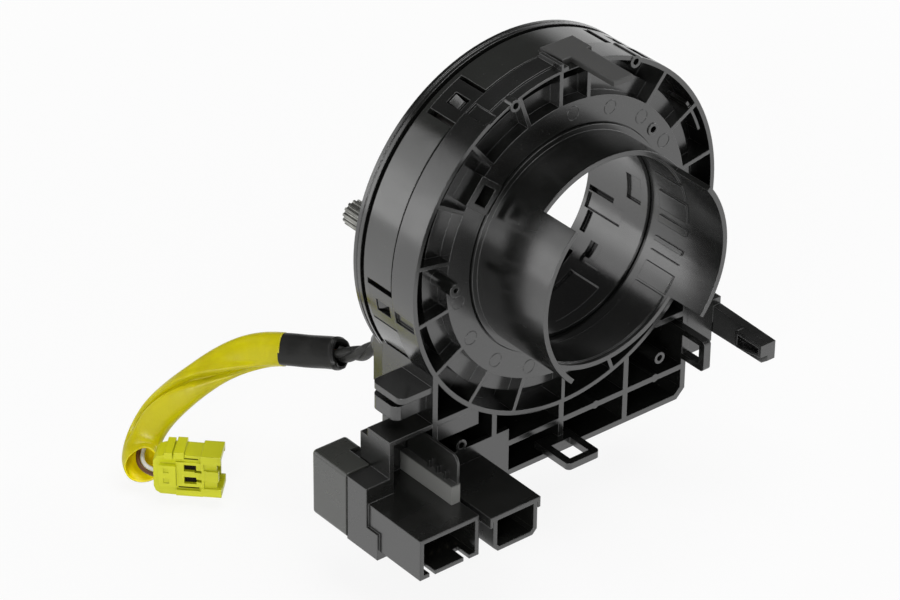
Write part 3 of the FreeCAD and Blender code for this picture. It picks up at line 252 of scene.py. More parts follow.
class Shader:
    """A small wrapper that adds and links the nodes of one material."""

    def __init__(self, name):
        self.material = bpy.data.materials.new(FINISH_PREFIX + name)
        self.material.use_nodes = True
        self.tree = self.material.node_tree
        self.tree.nodes.clear()
        self.output = self.tree.nodes.new("ShaderNodeOutputMaterial")
        self.surface = self.tree.nodes.new("ShaderNodeBsdfPrincipled")
        self.tree.links.new(self.surface.outputs[0], self.output.inputs["Surface"])
        self.coordinates = self.tree.nodes.new("ShaderNodeTexCoord").outputs["Object"]

    def link(self, value, socket):
        if isinstance(value, bpy.types.NodeSocket):
            self.tree.links.new(value, socket)
        else:
            socket.default_value = value

    def set(self, **values):
        for key, value in values.items():
            self.link(value, self.surface.inputs[key.replace("_", " ")])

    def math(self, operation, first, second, clamp=False):
        node = self.tree.nodes.new("ShaderNodeMath")
        node.operation = operation
        node.use_clamp = clamp
        self.link(first, node.inputs[0])
        self.link(second, node.inputs[1])
        return node.outputs[0]

    def noise(self, scale, detail, stretch=(1, 1, 1), distortion=0.0):
        vector = self.coordinates
        if stretch != (1, 1, 1):
            mapping = self.tree.nodes.new("ShaderNodeMapping")
            mapping.inputs["Scale"].default_value = stretch
            self.tree.links.new(vector, mapping.inputs["Vector"])
            vector = mapping.outputs[0]
        node = self.tree.nodes.new("ShaderNodeTexNoise")
        node.inputs["Scale"].default_value = scale
        node.inputs["Detail"].default_value = detail
        node.inputs["Roughness"].default_value = 0.55
        node.inputs["Distortion"].default_value = distortion
        self.tree.links.new(vector, node.inputs["Vector"])
        return node.outputs["Fac"]

    def spread(self, value, low, high, to_low, to_high):
        node = self.tree.nodes.new("ShaderNodeMapRange")
        self.link(value, node.inputs["Value"])
        ends = (("From Min", low), ("From Max", high), ("To Min", to_low), ("To Max", to_high))
        for key, number in ends:
            self.link(number, node.inputs[key])
        return node.outputs["Result"]

    def mix(self, factor, first, second):
        node = self.tree.nodes.new("ShaderNodeMix")
        node.data_type = "RGBA"
        self.link(factor, node.inputs[0])
        for value, socket in ((first, node.inputs[6]), (second, node.inputs[7])):
            self.link(value if isinstance(value, bpy.types.NodeSocket) else (*value, 1.0), socket)
        return node.outputs[2]

    def bump(self, height, strength, distance, normal=None):
        node = self.tree.nodes.new("ShaderNodeBump")
        node.inputs["Strength"].default_value = strength
        node.inputs["Distance"].default_value = distance
        self.link(height, node.inputs["Height"])
        if normal is not None:
            self.link(normal, node.inputs["Normal"])
        return node.outputs[0]

    def soft_edges(self, radius):
        """Normals rounded over edges, and a mask that is 1 on the edges."""
        bevel = self.tree.nodes.new("ShaderNodeBevel")
        bevel.samples = 6
        bevel.inputs["Radius"].default_value = radius
        geometry = self.tree.nodes.new("ShaderNodeNewGeometry")
        dot = self.tree.nodes.new("ShaderNodeVectorMath")
        dot.operation = "DOT_PRODUCT"
        self.tree.links.new(bevel.outputs[0], dot.inputs[0])
        self.tree.links.new(geometry.outputs["Normal"], dot.inputs[1])
        mask = self.spread(dot.outputs["Value"], 0.99, 0.86, 0.0, 1.0)
        return bevel.outputs[0], mask


def moulded(name, colour, roughness, edge, grain=0.10, flow=0.05, edge_scuff_and_glint=0.5, specks=0.35,
            spec=1.0, ior=1.58, foot=None):
    """Moulded plastic: fine grain, uneven sheen, flow streaks, dust specks, and paler edges that
    are partly scuffing and partly painted highlight.

    foot gives a height and the tone of what lies below it.
    """
    shader = Shader(name)
    normal, mask = shader.soft_edges(edge)
    cloud = shader.noise(38.0, 4.0)
    streak = shader.noise(60.0, 3.0, stretch=(0.25, 1.0, 3.0), distortion=0.4)
    fine = shader.noise(5200.0, 2.0)
    dust = shader.noise(1500.0, 1.0)
    uneven = shader.math("ADD", shader.spread(cloud, 0.3, 0.7, -flow, flow),
                         shader.spread(streak, 0.35, 0.65, -flow * 0.6, flow * 0.6))
    rough = shader.math("ADD", uneven, roughness)
    rough = shader.math("ADD", rough, shader.math("MULTIPLY", mask, 0.06), clamp=True)
    light = tuple(min(1.0, part * 1.6 + 0.003) for part in colour)
    scuff_glint_tone = tuple(min(1.0, part * 1.8 + 0.022) for part in colour)
    tinted = shader.mix(shader.spread(cloud, 0.25, 0.75, 0.0, 0.55), colour, light)
    speck = shader.spread(dust, 0.765, 0.79, 0.0, specks)
    tinted = shader.mix(speck, tinted, DUST)
    # The edges are painted paler: partly scuffing, partly a painted highlight along every edge.
    scuffed_and_glinting = shader.spread(cloud, 0.35, 0.65, 0.15 * edge_scuff_and_glint, edge_scuff_and_glint)
    edge_scuff_glint_mask = shader.math("MULTIPLY", mask, scuffed_and_glinting, clamp=True)
    tinted = shader.mix(edge_scuff_glint_mask, tinted, scuff_glint_tone)
    if foot:
        height, tone = foot
        parts = shader.tree.nodes.new("ShaderNodeSeparateXYZ")
        shader.link(shader.coordinates, parts.inputs[0])
        low = shader.spread(parts.outputs["Z"], height + FOOT_BLEND, height - FOOT_BLEND, 0.0, 1.0)
        tinted = shader.mix(low, tinted, tone)
    height = shader.math("ADD", fine, shader.math("MULTIPLY", streak, 1.5))
    shader.set(Base_Color=tinted, Roughness=rough, Specular_IOR_Level=spec, IOR=ior,
               Normal=shader.bump(height, grain, 0.00006, normal))


def metal(name, colour, roughness, edge):
    """Plated metal with fine drawn lines."""
    shader = Shader(name)
    normal, mask = shader.soft_edges(edge)
    lines = shader.noise(700.0, 2.0, stretch=(1.0, 0.08, 1.0))
    cloud = shader.noise(300.0, 3.0)
    dull = tuple(part * 0.55 for part in colour)
    tinted = shader.mix(shader.spread(cloud, 0.35, 0.7, 0.0, 0.8), colour, dull)
    rough = shader.math("ADD", shader.spread(cloud, 0.3, 0.7, -0.06, 0.10), roughness)
    shader.set(Base_Color=shader.mix(mask, tinted, colour), Metallic=1.0, Roughness=rough,
               Normal=shader.bump(lines, 0.12, 0.00005, normal))


def film(name):
    """Thin flat cable: cloudy dark film under a clear coat."""
    shader = Shader(name)
    cloud = shader.noise(200.0, 3.0)
    tinted = shader.mix(cloud, (0.012, 0.011, 0.010), (0.035, 0.030, 0.024))
    shader.set(Base_Color=tinted, Roughness=0.32, Coat_Weight=0.6, Coat_Roughness=0.1)


def soft_sleeve(name, colour, dark, roughness, glow, grain=0.25, painted_inner_light=None):
    """Soft vinyl sleeve: light passes a little, with broad creases and a smooth sheen.

    The last argument is a paler tone painted on the inner skin near the open end: painted light
    that stands for the light reaching it through the wall.
    """
    shader = Shader(name)
    broad = shader.noise(110.0, 3.0, stretch=(1.0, 1.0, 0.6), distortion=0.5)
    fine = shader.noise(1400.0, 2.0)
    tinted = shader.mix(shader.spread(broad, 0.3, 0.72, 0.0, 0.9), colour, dark)
    if painted_inner_light:
        attribute = shader.tree.nodes.new("ShaderNodeAttribute")
        attribute.attribute_name = "inside"
        tinted = shader.mix(attribute.outputs["Fac"], tinted, painted_inner_light)
    height = shader.math("ADD", shader.math("MULTIPLY", broad, 6.0), fine)
    rough = shader.math("ADD", shader.spread(broad, 0.3, 0.7, -0.05, 0.08), roughness)
    shader.set(Base_Color=tinted, Roughness=rough, Specular_IOR_Level=0.35, Subsurface_Weight=glow,
               Subsurface_Scale=0.0012, Normal=shader.bump(height, grain, 0.0002))
    shader.surface.inputs["Subsurface Radius"].default_value = (1.0, 0.7, 0.2)


def tape(name):
    """Black tape wound round the bundle: uneven laps and dull sheen."""
    shader = Shader(name)
    laps = shader.noise(260.0, 2.0, stretch=(1.0, 0.5, 1.6), distortion=0.3)
    fine = shader.noise(1800.0, 3.0)
    lap = shader.spread(laps, 0.35, 0.65, 0.0, 1.0)
    tinted = shader.mix(lap, (0.008, 0.008, 0.0075), (0.022, 0.022, 0.020))
    height = shader.math("ADD", shader.math("MULTIPLY", laps, 4.0), fine)
    shader.set(Base_Color=tinted, Roughness=0.48, Specular_IOR_Level=0.45,
               Normal=shader.bump(height, 0.35, 0.0002))


def insulation(name, colour, roughness=0.38, spec=0.5):
    """Smooth wire insulation, and the dark painted shade inside a pocket."""
    shader = Shader(name)
    fine = shader.noise(900.0, 2.0)
    dark = tuple(part * 0.75 for part in colour)
    shader.set(Base_Color=shader.mix(fine, colour, dark), Roughness=roughness,
               Specular_IOR_Level=spec, Normal=shader.bump(fine, 0.1, 0.0001))


def finish_materials():
    """One material for each finish."""
    finish = bpy.context.scene.clock_spring_finish
    plastic = tuple(finish.plastic_colour)
    block = tuple(finish.block_colour)
    case = tuple(part * CASE_PALER for part in plastic)
    cover = tuple(part * COVER_PALER for part in block)
    edge = finish.edge_radius
    round_edge = edge * CONNECTOR_ROUNDER
    moulded("housing_black", plastic, 0.22, edge, edge_scuff_and_glint=0.55)
    moulded("case_black", case, 0.15, edge, grain=0.07)
    moulded("collar_black", plastic, 0.22, edge, grain=0.08, edge_scuff_and_glint=0.45)
    moulded("rotor_black", plastic, 0.17, edge, grain=0.08)
    moulded("lug_matt", (0.020, 0.020, 0.019), 0.52, edge, grain=0.25, edge_scuff_and_glint=0.35, spec=0.9,
            ior=1.5)
    moulded("block_black", block, 0.24, round_edge, grain=0.12, edge_scuff_and_glint=0.6, ior=1.53)
    moulded("cover_black", cover, 0.30, round_edge, grain=0.14, spec=0.85, ior=1.5)
    # The lever: black above LEVER_TOP as painted shade, and its bar below paler, partly as painted
    # light.
    moulded("lever_lit_bar_shaded_wall", block, 0.32, edge, grain=0.12, edge_scuff_and_glint=0.6, ior=1.53,
            foot=(LEVER_TOP, LEVER_TONE_AND_LIGHT))
    moulded("plug_yellow", tuple(finish.plug_colour), 0.36, edge, flow=0.03, edge_scuff_and_glint=0.2,
            specks=0.0, spec=0.5, ior=1.5)
    metal("pin_metal", (0.30, 0.30, 0.28), 0.34, edge * 0.5)
    metal("terminal_metal", (0.72, 0.66, 0.50), 0.25, edge * 0.4)
    film("cable_film")
    # The yellow sleeve's inner skin is painted paler near its mouth: painted light.
    soft_sleeve("sleeve_yellow", tuple(finish.yellow_colour), (0.47, 0.41, 0.001), 0.30,
                glow=0.20, painted_inner_light=(0.98, 0.80, 0.002))
    soft_sleeve("sleeve_black", (0.006, 0.006, 0.0055), (0.011, 0.011, 0.010), 0.40,
                glow=0.0, grain=0.3)
    tape("wire_black")
    insulation("wire_brown", (0.13, 0.05, 0.02))
    insulation("wire_white", (0.75, 0.75, 0.72))
    insulation("pocket_painted_shade", (0.012, 0.009, 0.005), roughness=0.7, spec=0.1)


def material(name):
    return bpy.data.materials[FINISH_PREFIX + name]


# Geometry helpers


def link_object(name, data):
    item = bpy.data.objects.new(name, data)
    bpy.context.scene.collection.objects.link(item)
    return item


def new_piece(name, mesh, slot_name, body, material_name=None, smooth=True):
    """A piece of the visual model, which rides on a body."""
    piece = link_object(name, mesh)
    if not mesh.materials:
        mesh.materials.append(material(material_name or slot_name))
    if smooth:
        mesh.polygons.foreach_set("use_smooth", [True] * len(mesh.polygons))
    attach(piece, body)
    return piece


def mesh_from(bm, name):
    """The finished mesh, with its normals outward."""
    bmesh.ops.recalc_face_normals(bm, faces=bm.faces)
    mesh = bpy.data.meshes.new(name)
    bm.to_mesh(mesh)
    bm.free()
    return mesh


def route_line(points):
    """Points along the smooth line that the route controls."""
    curve = bpy.data.curves.new("route", "CURVE")
    curve.dimensions = "3D"
    curve.resolution_u = LINE_RESOLUTION
    spline = curve.splines.new("NURBS")
    spline.points.add(len(points) - 1)
    for point, place in zip(spline.points, points):
        point.co = (*place, 1.0)
    spline.order_u = 3
    spline.use_endpoint_u = True
    holder = link_object("route", curve)
    bpy.context.view_layer.update()
    evaluated = holder.evaluated_get(bpy.context.evaluated_depsgraph_get())
    mesh = bpy.data.meshes.new_from_object(evaluated)
    line = [vertex.co.copy() for vertex in mesh.vertices]
    bpy.data.objects.remove(holder)
    bpy.data.curves.remove(curve)
    bpy.data.meshes.remove(mesh)
    return line


def line_length(line):
    return sum((b - a).length for a, b in zip(line, line[1:]))


def even_line(line, count):
    """The same line with evenly spaced points."""
    total = line_length(line)
    wanted = [total * step / (count - 1) for step in range(count)]
    result = []
    travelled = 0.0
    index = 0
    for target in wanted:
        step = (line[index + 1] - line[index]).length
        while index < len(line) - 2 and travelled + step < target:
            travelled += step
            index += 1
            step = (line[index + 1] - line[index]).length
        share = 0.0 if step == 0 else min(1.0, max(0.0, (target - travelled) / step))
        result.append(line[index].lerp(line[index + 1], share))
    return result


def nearest(line, place):
    return min(range(len(line)), key=lambda index: (line[index] - place).length)


def frames(line):
    """Tangent, front and side at each point; front keeps to the flat side."""
    result = []
    for index, point in enumerate(line):
        before = line[max(0, index - 1)]
        after = line[min(len(line) - 1, index + 1)]
        tangent = (after - before).normalized()
        front = (FLAT_SIDE - tangent * FLAT_SIDE.dot(tangent)).normalized()
        side = tangent.cross(front)
        result.append((point, tangent, front, side))
    return result


def bridge(bm, rows):
    """Faces between neighbouring closed rows of vertices."""
    for first, second in zip(rows, rows[1:]):
        count = len(first)
        for step in range(count):
            after = (step + 1) % count
            bm.faces.new((first[step], first[after], second[after], second[step]))


def loft(rings):
    """A skin through rings of places, closed at both ends."""
    bm = bmesh.new()
    rows = [[bm.verts.new(place) for place in ring] for ring in rings]
    bridge(bm, rows)
    bm.faces.new(list(reversed(rows[0])))
    bm.faces.new(rows[-1])
    return bm


def tube_mesh(name, line, radius, sides):
    rings = []
    for point, _, front, side in frames(line):
        angles = [math.tau * step / sides for step in range(sides)]
        rings.append([point + (front * math.sin(angle) + side * math.cos(angle)) * radius
                      for angle in angles])
    return mesh_from(loft(rings), name)


def smooth_step(value, low, high):
    """0 below low, 1 above high and a smooth rise between them."""
    share = min(1.0, max(0.0, (value - low) / (high - low)))
    return share * share * (3 - 2 * share)


def sleeve_mesh(name, line, section, wall, mouth, sides=72):
    """An open sleeve with a wall: outer skin, rim and inner skin in one closed mesh.

    section gives the outline across and in depth, and mouth moves it along the line. The
    attribute inside grows to 1 on the inner skin near the open end.
    """
    outer = []
    inner = []
    spots = frames(line)
    last = len(spots) - 1
    for index, (point, tangent, front, side) in enumerate(spots):
        along = index / last
        ring = []
        hollow = []
        for step in range(sides):
            angle = math.tau * step / sides
            across, deep = section(angle, along)
            place = point + side * across + front * deep
            place += tangent * mouth(angle, along, deep)
            size = max(math.hypot(across, deep), 1e-6)
            share = max(0.15, 1.0 - wall / size)
            ring.append(place)
            hollow.append(place.lerp(point + (place - point).project(tangent), 1.0 - share))
        outer.append(ring)
        inner.append(hollow)
    bm = bmesh.new()
    # The attribute inside masks where the yellow sleeve's material paints light on the inner skin.
    inside = bm.verts.layers.float.new("inside")
    rows = [[bm.verts.new(place) for place in ring] for ring in (*outer, *reversed(inner))]
    for index, row in enumerate(reversed(rows[len(outer):])):
        for vert in row:
            vert[inside] = smooth_step(index / last, 0.80, 0.92)
    bridge(bm, (*rows, rows[0]))
    return mesh_from(bm, name)


# Corners of each face of a box, whose corners run through X, then Y, then Z.
BOX_FACES = ((0, 1, 3, 2), (4, 6, 7, 5), (0, 4, 5, 1), (2, 3, 7, 6), (0, 2, 6, 4), (1, 5, 7, 3))


def block(bm, low, high):
    """Adds one box to a mesh, in millimetres."""
    verts = [bm.verts.new(Vector(corner) * MM) for corner in itertools.product(*zip(low, high))]
    for face in BOX_FACES:
        bm.faces.new([verts[index] for index in face])


def boxes_mesh(name, boxes):
    bm = bmesh.new()
    for low, high in boxes:
        block(bm, low, high)
    return mesh_from(bm, name)


def prism_mesh(name, outline, depths):
    """A flat outline in X and Z, in millimetres, between two depths."""
    rings = [[Vector((x, depth, z)) * MM for x, z in outline] for depth in depths]
    return mesh_from(loft(rings), name)


def combine(holder, others, operation):
    """Boolean modifiers that add the other objects or cut them away."""
    for other in others:
        modifier = holder.modifiers.new("combine", "BOOLEAN")
        modifier.operation = operation
        modifier.solver = "EXACT"
        modifier.object = other
        modifier.use_self = True


def baked(holder, helpers=()):
    """The evaluated mesh of a helper object, whose helpers are then removed."""
    bpy.context.view_layer.update()
    evaluated = holder.evaluated_get(bpy.context.evaluated_depsgraph_get())
    mesh = bpy.data.meshes.new_from_object(evaluated)
    for item in (holder, *helpers):
        data = item.data
        bpy.data.objects.remove(item)
        if data and data.users == 0:
            bpy.data.meshes.remove(data)
    return mesh


# Airbag lead


def lead_lines():
    """The lead's line, and the indices where the bundle and the two sleeves end."""
    line = even_line(route_line(LEAD_ROUTE), LINE_POINTS)
    places = [Vector(place) for place in LEAD_ROUTE]
    ends = [nearest(line, (places[number] + places[number + 1]) / 2) for number in LEAD_ENDS]
    return line, ends


def offset_line(line, distance):
    return [point + side * distance for point, _, _, side in frames(line)]


def bundle_mesh(line, diameter):
    """Three wrapped strands laid round each other, and a core."""
    strand = diameter * STRAND_SHARE
    orbit = diameter * 0.5 - strand
    count = len(line) - 1
    total = line_length(line)
    merged = bmesh.new()
    for number in range(3):
        spots = []
        for index, (point, _, front, side) in enumerate(frames(line)):
            angle = math.tau * (number / 3 + total * index / count / STRAND_PITCH)
            spots.append(point + (front * math.sin(angle) + side * math.cos(angle)) * orbit)
        strand_mesh = tube_mesh("strand", spots, strand, 16)
        merged.from_mesh(strand_mesh)
        bpy.data.meshes.remove(strand_mesh)
    core = tube_mesh("core", line, diameter * CORE_SHARE, 14)
    merged.from_mesh(core)
    bpy.data.meshes.remove(core)
    return mesh_from(merged, "lead_bundle_strands")


def oval(angle, wide, deep, power):
    """A point of a rounded, flattened outline."""
    c = math.cos(angle)
    s = math.sin(angle)
    across = math.copysign(abs(c) ** (2 / power), c) * wide
    depth = math.copysign(abs(s) ** (2 / power), s) * deep
    return across, depth


def black_section(angle, along):
    """Nearly round and a little uneven, with a lip at the end that the bundle enters."""
    across, deep = oval(angle, 4.75 * MM, 4.0 * MM, 2.6)
    ripple = 1.0 + 0.015 * math.sin(3 * angle + 9 * along) - 0.02 * math.cos(2 * angle + 4)
    lip = 0.03 * math.exp(-((along - 0.06) / 0.03) ** 2)
    edge = 1.0 - 0.10 * max(0.0, 1 - along / 0.06) + lip
    return across * ripple * edge, deep * ripple * edge


def black_mouth(angle, along, _):
    """The end that the bundle enters is cut a little unevenly."""
    slant = 0.9 * math.sin(angle + 0.6) + 0.35 * math.sin(2 * angle) + 0.15 * math.sin(5 * angle)
    return slant * MM * max(0.0, 1 - along / 0.2)


def yellow_section(angle, along):
    """Round at the joint, then flattened, with one long fold from one edge to the other."""
    flat = smooth_step(along, 0.0, 0.22)
    wide = 5.0 * MM + 0.25 * MM * flat + 0.35 * MM * smooth_step(along, 0.8, 1.0)
    deep = (4.1 - 1.3 * flat + 0.9 * smooth_step(along, 0.75, 1.0)) * MM
    across, depth = oval(angle, wide, deep, 2.25)
    fold_at = math.radians(168 - 140 * smooth_step(along, 0.02, 0.80))
    away = (angle - fold_at + math.pi) % math.tau - math.pi
    present = smooth_step(along, 0.04, 0.2) * (1 - smooth_step(along, 0.78, 0.95))
    groove = math.exp(-(away / 0.15) ** 2) * 0.66 * present
    lip = math.exp(-((away + 0.36) / 0.24) ** 2) * 0.34 * present
    share = 1.0 - groove + lip
    wave = 1.0 + 0.03 * math.sin(11 * along + 2 * angle)
    return across * (1 - 0.25 * groove) * wave, depth * share * wave


def yellow_mouth(angle, along, deep):
    """The open end is cut at a slant, so that its far wall is the longer."""
    slant = 1.35 * MM - 0.88 * deep + 0.6 * MM * math.sin(angle * 2)
    return slant * smooth_step(along, 0.82, 1.0)


def build_lead():
    lead = bpy.context.scene.clock_spring_lead
    line, (bundle_end, black_end, yellow_end) = lead_lines()
    for name, share in (("wire_white", -WIRE_OFFSET), ("wire_brown", WIRE_OFFSET)):
        path = offset_line(line, lead.wire_diameter * share)
        mesh = tube_mesh(name, path, lead.wire_diameter / 2, 12)
        new_piece(name, mesh, "wire_black", "rotor", name)
    strands = bundle_mesh(line[:bundle_end + BUNDLE_TUCK], lead.bundle_diameter)
    bundle = new_piece("bundle_strands", strands, "wire_black", "rotor")
    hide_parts("lead_bundle")
    black_line = line[bundle_end:black_end + 1]
    black_skin = sleeve_mesh("black_sleeve_skin", black_line, black_section, BLACK_WALL,
                             black_mouth)
    black = new_piece("black_sleeve_skin", black_skin, "sleeve_black", "rotor")
    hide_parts("black_sleeve")
    yellow_line = even_line(line[black_end - YELLOW_TUCK:yellow_end + YELLOW_TAIL], YELLOW_POINTS)
    yellow_skin = sleeve_mesh("yellow_sleeve_skin", yellow_line, yellow_section, YELLOW_WALL,
                              yellow_mouth)
    yellow = new_piece("yellow_sleeve_skin", yellow_skin, "sleeve_yellow", "rotor")
    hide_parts("yellow_sleeve")
    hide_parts("lead_wires")
    plug = build_plug()


def plug_place():
    """From the plug's own frame to the end of the lead."""
    end = Vector(LEAD_ROUTE[-1])
    heading = (end - Vector(LEAD_ROUTE[-2])).normalized()
    up = Vector((0, 0, 1))
    corner = end - heading * PLUG_GRIP + up * PLUG_LIFT
    turn = Matrix((heading, up.cross(heading), up)).transposed().to_4x4()
    return Matrix.Translation(corner) @ turn


def plug_bore():
    """The hole for the wires, which lie lower than the plug's middle."""
    bore = bmesh.new()
    across = Matrix.Rotation(math.radians(90), 4, "Y")
    turn = Matrix.Translation((PLUG_BORE_PLACE, 0, -PLUG_LIFT)) @ across
    bmesh.ops.create_cone(bore, cap_ends=True, segments=24, radius1=PLUG_BORE_RADIUS,
                          radius2=PLUG_BORE_RADIUS, depth=PLUG_BORE_DEPTH, matrix=turn)
    return link_object("plug_bore", mesh_from(bore, "plug_bore"))


def build_plug():
    """The airbag plug: shell with clip, windows, slits, mouth and ribs, and dark boxes of painted
    shade behind them.
    """
    body = link_object("plug_body", prism_mesh("plug_body", PLUG_OUTLINE, PLUG_DEPTHS))
    added, lips, cuts = (
        link_object(name, boxes_mesh(name, boxes)) for name, boxes in (
            ("plug_added", PLUG_ADDED), ("plug_lips", PLUG_LIPS), ("plug_cuts", PLUG_CUTS)))
    bore = plug_bore()
    combine(body, (added, lips), "UNION")
    bevel = body.modifiers.new("edges", "BEVEL")
    bevel.width = PLUG_BEVEL
    bevel.segments = 3
    bevel.limit_method = "ANGLE"
    bevel.angle_limit = math.radians(40)
    bevel.use_clamp_overlap = True
    combine(body, (cuts, bore), "DIFFERENCE")
    shell = baked(body, (added, lips, cuts, bore))
    shell.transform(plug_place())
    shell.materials.clear()
    piece = new_piece("plug_shell", shell, "plug_yellow", "rotor", smooth=False)
    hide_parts("plug_housing")
    # Painted shade: dark boxes in the depths of the windows and slits.
    dark = boxes_mesh("plug_painted_shade", PLUG_SHADE_BOXES)
    dark.transform(plug_place())
    new_piece("plug_painted_shade", dark, "block_black", "rotor", "pocket_painted_shade", smooth=False)
    return piece


# Repeated marks


def marks_tree():
    """Nodes that lay a row of thin ring marks along an arc of a flat face."""
    tree = bpy.data.node_groups.new("ejector_marks", "GeometryNodeTree")
    make = tree.interface.new_socket
    inputs = {}
    for label, kind, value in (
        ("Count", "NodeSocketInt", 4),
        ("First angle", "NodeSocketFloat", 0.5),
        ("Step", "NodeSocketFloat", 0.35),
        ("Arc radius", "NodeSocketFloat", 0.0398),
        ("Depth", "NodeSocketFloat", 0.027),
        ("Mark radius", "NodeSocketFloat", 0.0021),
        ("Line width", "NodeSocketFloat", 0.00012),
    ):
        socket = make(name=label, in_out="INPUT", socket_type=kind)
        socket.default_value = value
        inputs[label] = socket.identifier
    finish = make(name="Material", in_out="INPUT", socket_type="NodeSocketMaterial")
    inputs["Material"] = finish.identifier
    make(name="Geometry", in_out="OUTPUT", socket_type="NodeSocketGeometry")
    nodes = tree.nodes
    link = tree.links.new
    given = nodes.new("NodeGroupInput")
    points = nodes.new("GeometryNodePoints")
    link(given.outputs["Count"], points.inputs["Count"])
    index = nodes.new("GeometryNodeInputIndex")
    turn = nodes.new("ShaderNodeMath")
    turn.operation = "MULTIPLY_ADD"
    link(index.outputs[0], turn.inputs[0])
    link(given.outputs["Step"], turn.inputs[1])
    link(given.outputs["First angle"], turn.inputs[2])
    place = nodes.new("ShaderNodeCombineXYZ")
    for operation, socket in (("COSINE", "X"), ("SINE", "Z")):
        wave = nodes.new("ShaderNodeMath")
        wave.operation = operation
        link(turn.outputs[0], wave.inputs[0])
        reach = nodes.new("ShaderNodeMath")
        reach.operation = "MULTIPLY"
        link(wave.outputs[0], reach.inputs[0])
        link(given.outputs["Arc radius"], reach.inputs[1])
        link(reach.outputs[0], place.inputs[socket])
    back = nodes.new("ShaderNodeMath")
    back.operation = "MULTIPLY"
    back.inputs[1].default_value = -1.0
    link(given.outputs["Depth"], back.inputs[0])
    link(back.outputs[0], place.inputs["Y"])
    link(place.outputs[0], points.inputs["Position"])
    ring = nodes.new("GeometryNodeCurvePrimitiveCircle")
    ring.inputs["Resolution"].default_value = 40
    link(given.outputs["Mark radius"], ring.inputs["Radius"])
    profile = nodes.new("GeometryNodeCurvePrimitiveCircle")
    profile.inputs["Resolution"].default_value = 8
    link(given.outputs["Line width"], profile.inputs["Radius"])
    swept = nodes.new("GeometryNodeCurveToMesh")
    link(ring.outputs[0], swept.inputs["Curve"])
    link(profile.outputs[0], swept.inputs["Profile Curve"])
    spread = nodes.new("GeometryNodeInstanceOnPoints")
    spread.inputs["Rotation"].default_value = (math.radians(90), 0, 0)
    link(points.outputs[0], spread.inputs["Points"])
    link(swept.outputs[0], spread.inputs["Instance"])
    realized = nodes.new("GeometryNodeRealizeInstances")
    link(spread.outputs[0], realized.inputs[0])
    painted = nodes.new("GeometryNodeSetMaterial")
    link(realized.outputs[0], painted.inputs["Geometry"])
    link(given.outputs["Material"], painted.inputs["Material"])
    result = nodes.new("NodeGroupOutput")
    link(painted.outputs[0], result.inputs[0])
    return tree, inputs


def build_marks():
    """Thin ejector marks on the annular face."""
    tree, inputs = marks_tree()
    merged = bmesh.new()
    for first, step, count in MARK_ROWS:
        holder = link_object("marks", bpy.data.meshes.new("marks"))
        modifier = holder.modifiers.new("marks", "NODES")
        modifier.node_group = tree
        modifier[inputs["Count"]] = count
        modifier[inputs["First angle"]] = math.radians(first)
        modifier[inputs["Step"]] = math.radians(step)
        modifier[inputs["Material"]] = material("housing_black")
        mesh = baked(holder)
        merged.from_mesh(mesh)
        bpy.data.meshes.remove(mesh)
    new_piece("ejector_marks", mesh_from(merged, "ejector_marks"), "housing_black", "stator")


# Stage


def build_camera():
    level = math.cos(ELEVATION)
    back = Vector((math.sin(AZIMUTH) * level, -math.cos(AZIMUTH) * level, math.sin(ELEVATION)))
    right = Vector((math.cos(AZIMUTH), math.sin(AZIMUTH), 0))
    up = back.cross(right)
    rolled = right * math.cos(ROLL) + up * math.sin(ROLL)
    upright = up * math.cos(ROLL) - right * math.sin(ROLL)
    place = -(rolled * OFFSET[0] + upright * OFFSET[1] - back * OFFSET[2])
    data = bpy.data.cameras.new("camera")
    data.sensor_width = SENSOR
    data.lens = FOCAL
    data.clip_start = 0.05
    data.clip_end = 20
    camera = link_object("camera", data)
    turn = Matrix((rolled, upright, back)).transposed().to_4x4()
    camera.matrix_world = Matrix.Translation(place) @ turn
    bpy.context.scene.camera = camera


def area_light(name, place, size, power):
    data = bpy.data.lights.new(name, "AREA")
    data.shape = "RECTANGLE"
    data.size, data.size_y = size
    data.energy = power
    lamp = link_object(name, data)
    lamp.location = place
    aim = LAMP_AIM - Vector(place)
    lamp.rotation_euler = aim.to_track_quat("-Z", "Y").to_euler()


def build_world(level):
    """Pale near the horizon and dim overhead, plain white where the camera sees it."""
    world = bpy.data.worlds.new("studio")
    world.use_nodes = True
    tree = world.node_tree
    tree.nodes.clear()
    output = tree.nodes.new("ShaderNodeOutputWorld")
    mix = tree.nodes.new("ShaderNodeMixShader")
    path = tree.nodes.new("ShaderNodeLightPath")
    heading = tree.nodes.new("ShaderNodeTexCoord")
    parts = tree.nodes.new("ShaderNodeSeparateXYZ")
    tree.links.new(heading.outputs["Generated"], parts.inputs[0])
    fade = tree.nodes.new("ShaderNodeMapRange")
    fade.interpolation_type = "SMOOTHSTEP"
    fade.inputs["From Min"].default_value, fade.inputs["From Max"].default_value = WORLD_FADE
    fade.inputs["To Min"].default_value = level
    fade.inputs["To Max"].default_value = level * OVERHEAD
    tree.links.new(parts.outputs["Z"], fade.inputs["Value"])
    lit = tree.nodes.new("ShaderNodeBackground")
    lit.inputs["Color"].default_value = (1.0, 1.0, 1.0, 1.0)
    tree.links.new(fade.outputs["Result"], lit.inputs["Strength"])
    seen = tree.nodes.new("ShaderNodeBackground")
    seen.inputs["Color"].default_value = (1.0, 1.0, 1.0, 1.0)
    seen.inputs["Strength"].default_value = 1.0
    tree.links.new(path.outputs["Is Camera Ray"], mix.inputs[0])
    tree.links.new(lit.outputs[0], mix.inputs[1])
    tree.links.new(seen.outputs[0], mix.inputs[2])
    tree.links.new(mix.outputs[0], output.inputs[0])
    bpy.context.scene.world = world


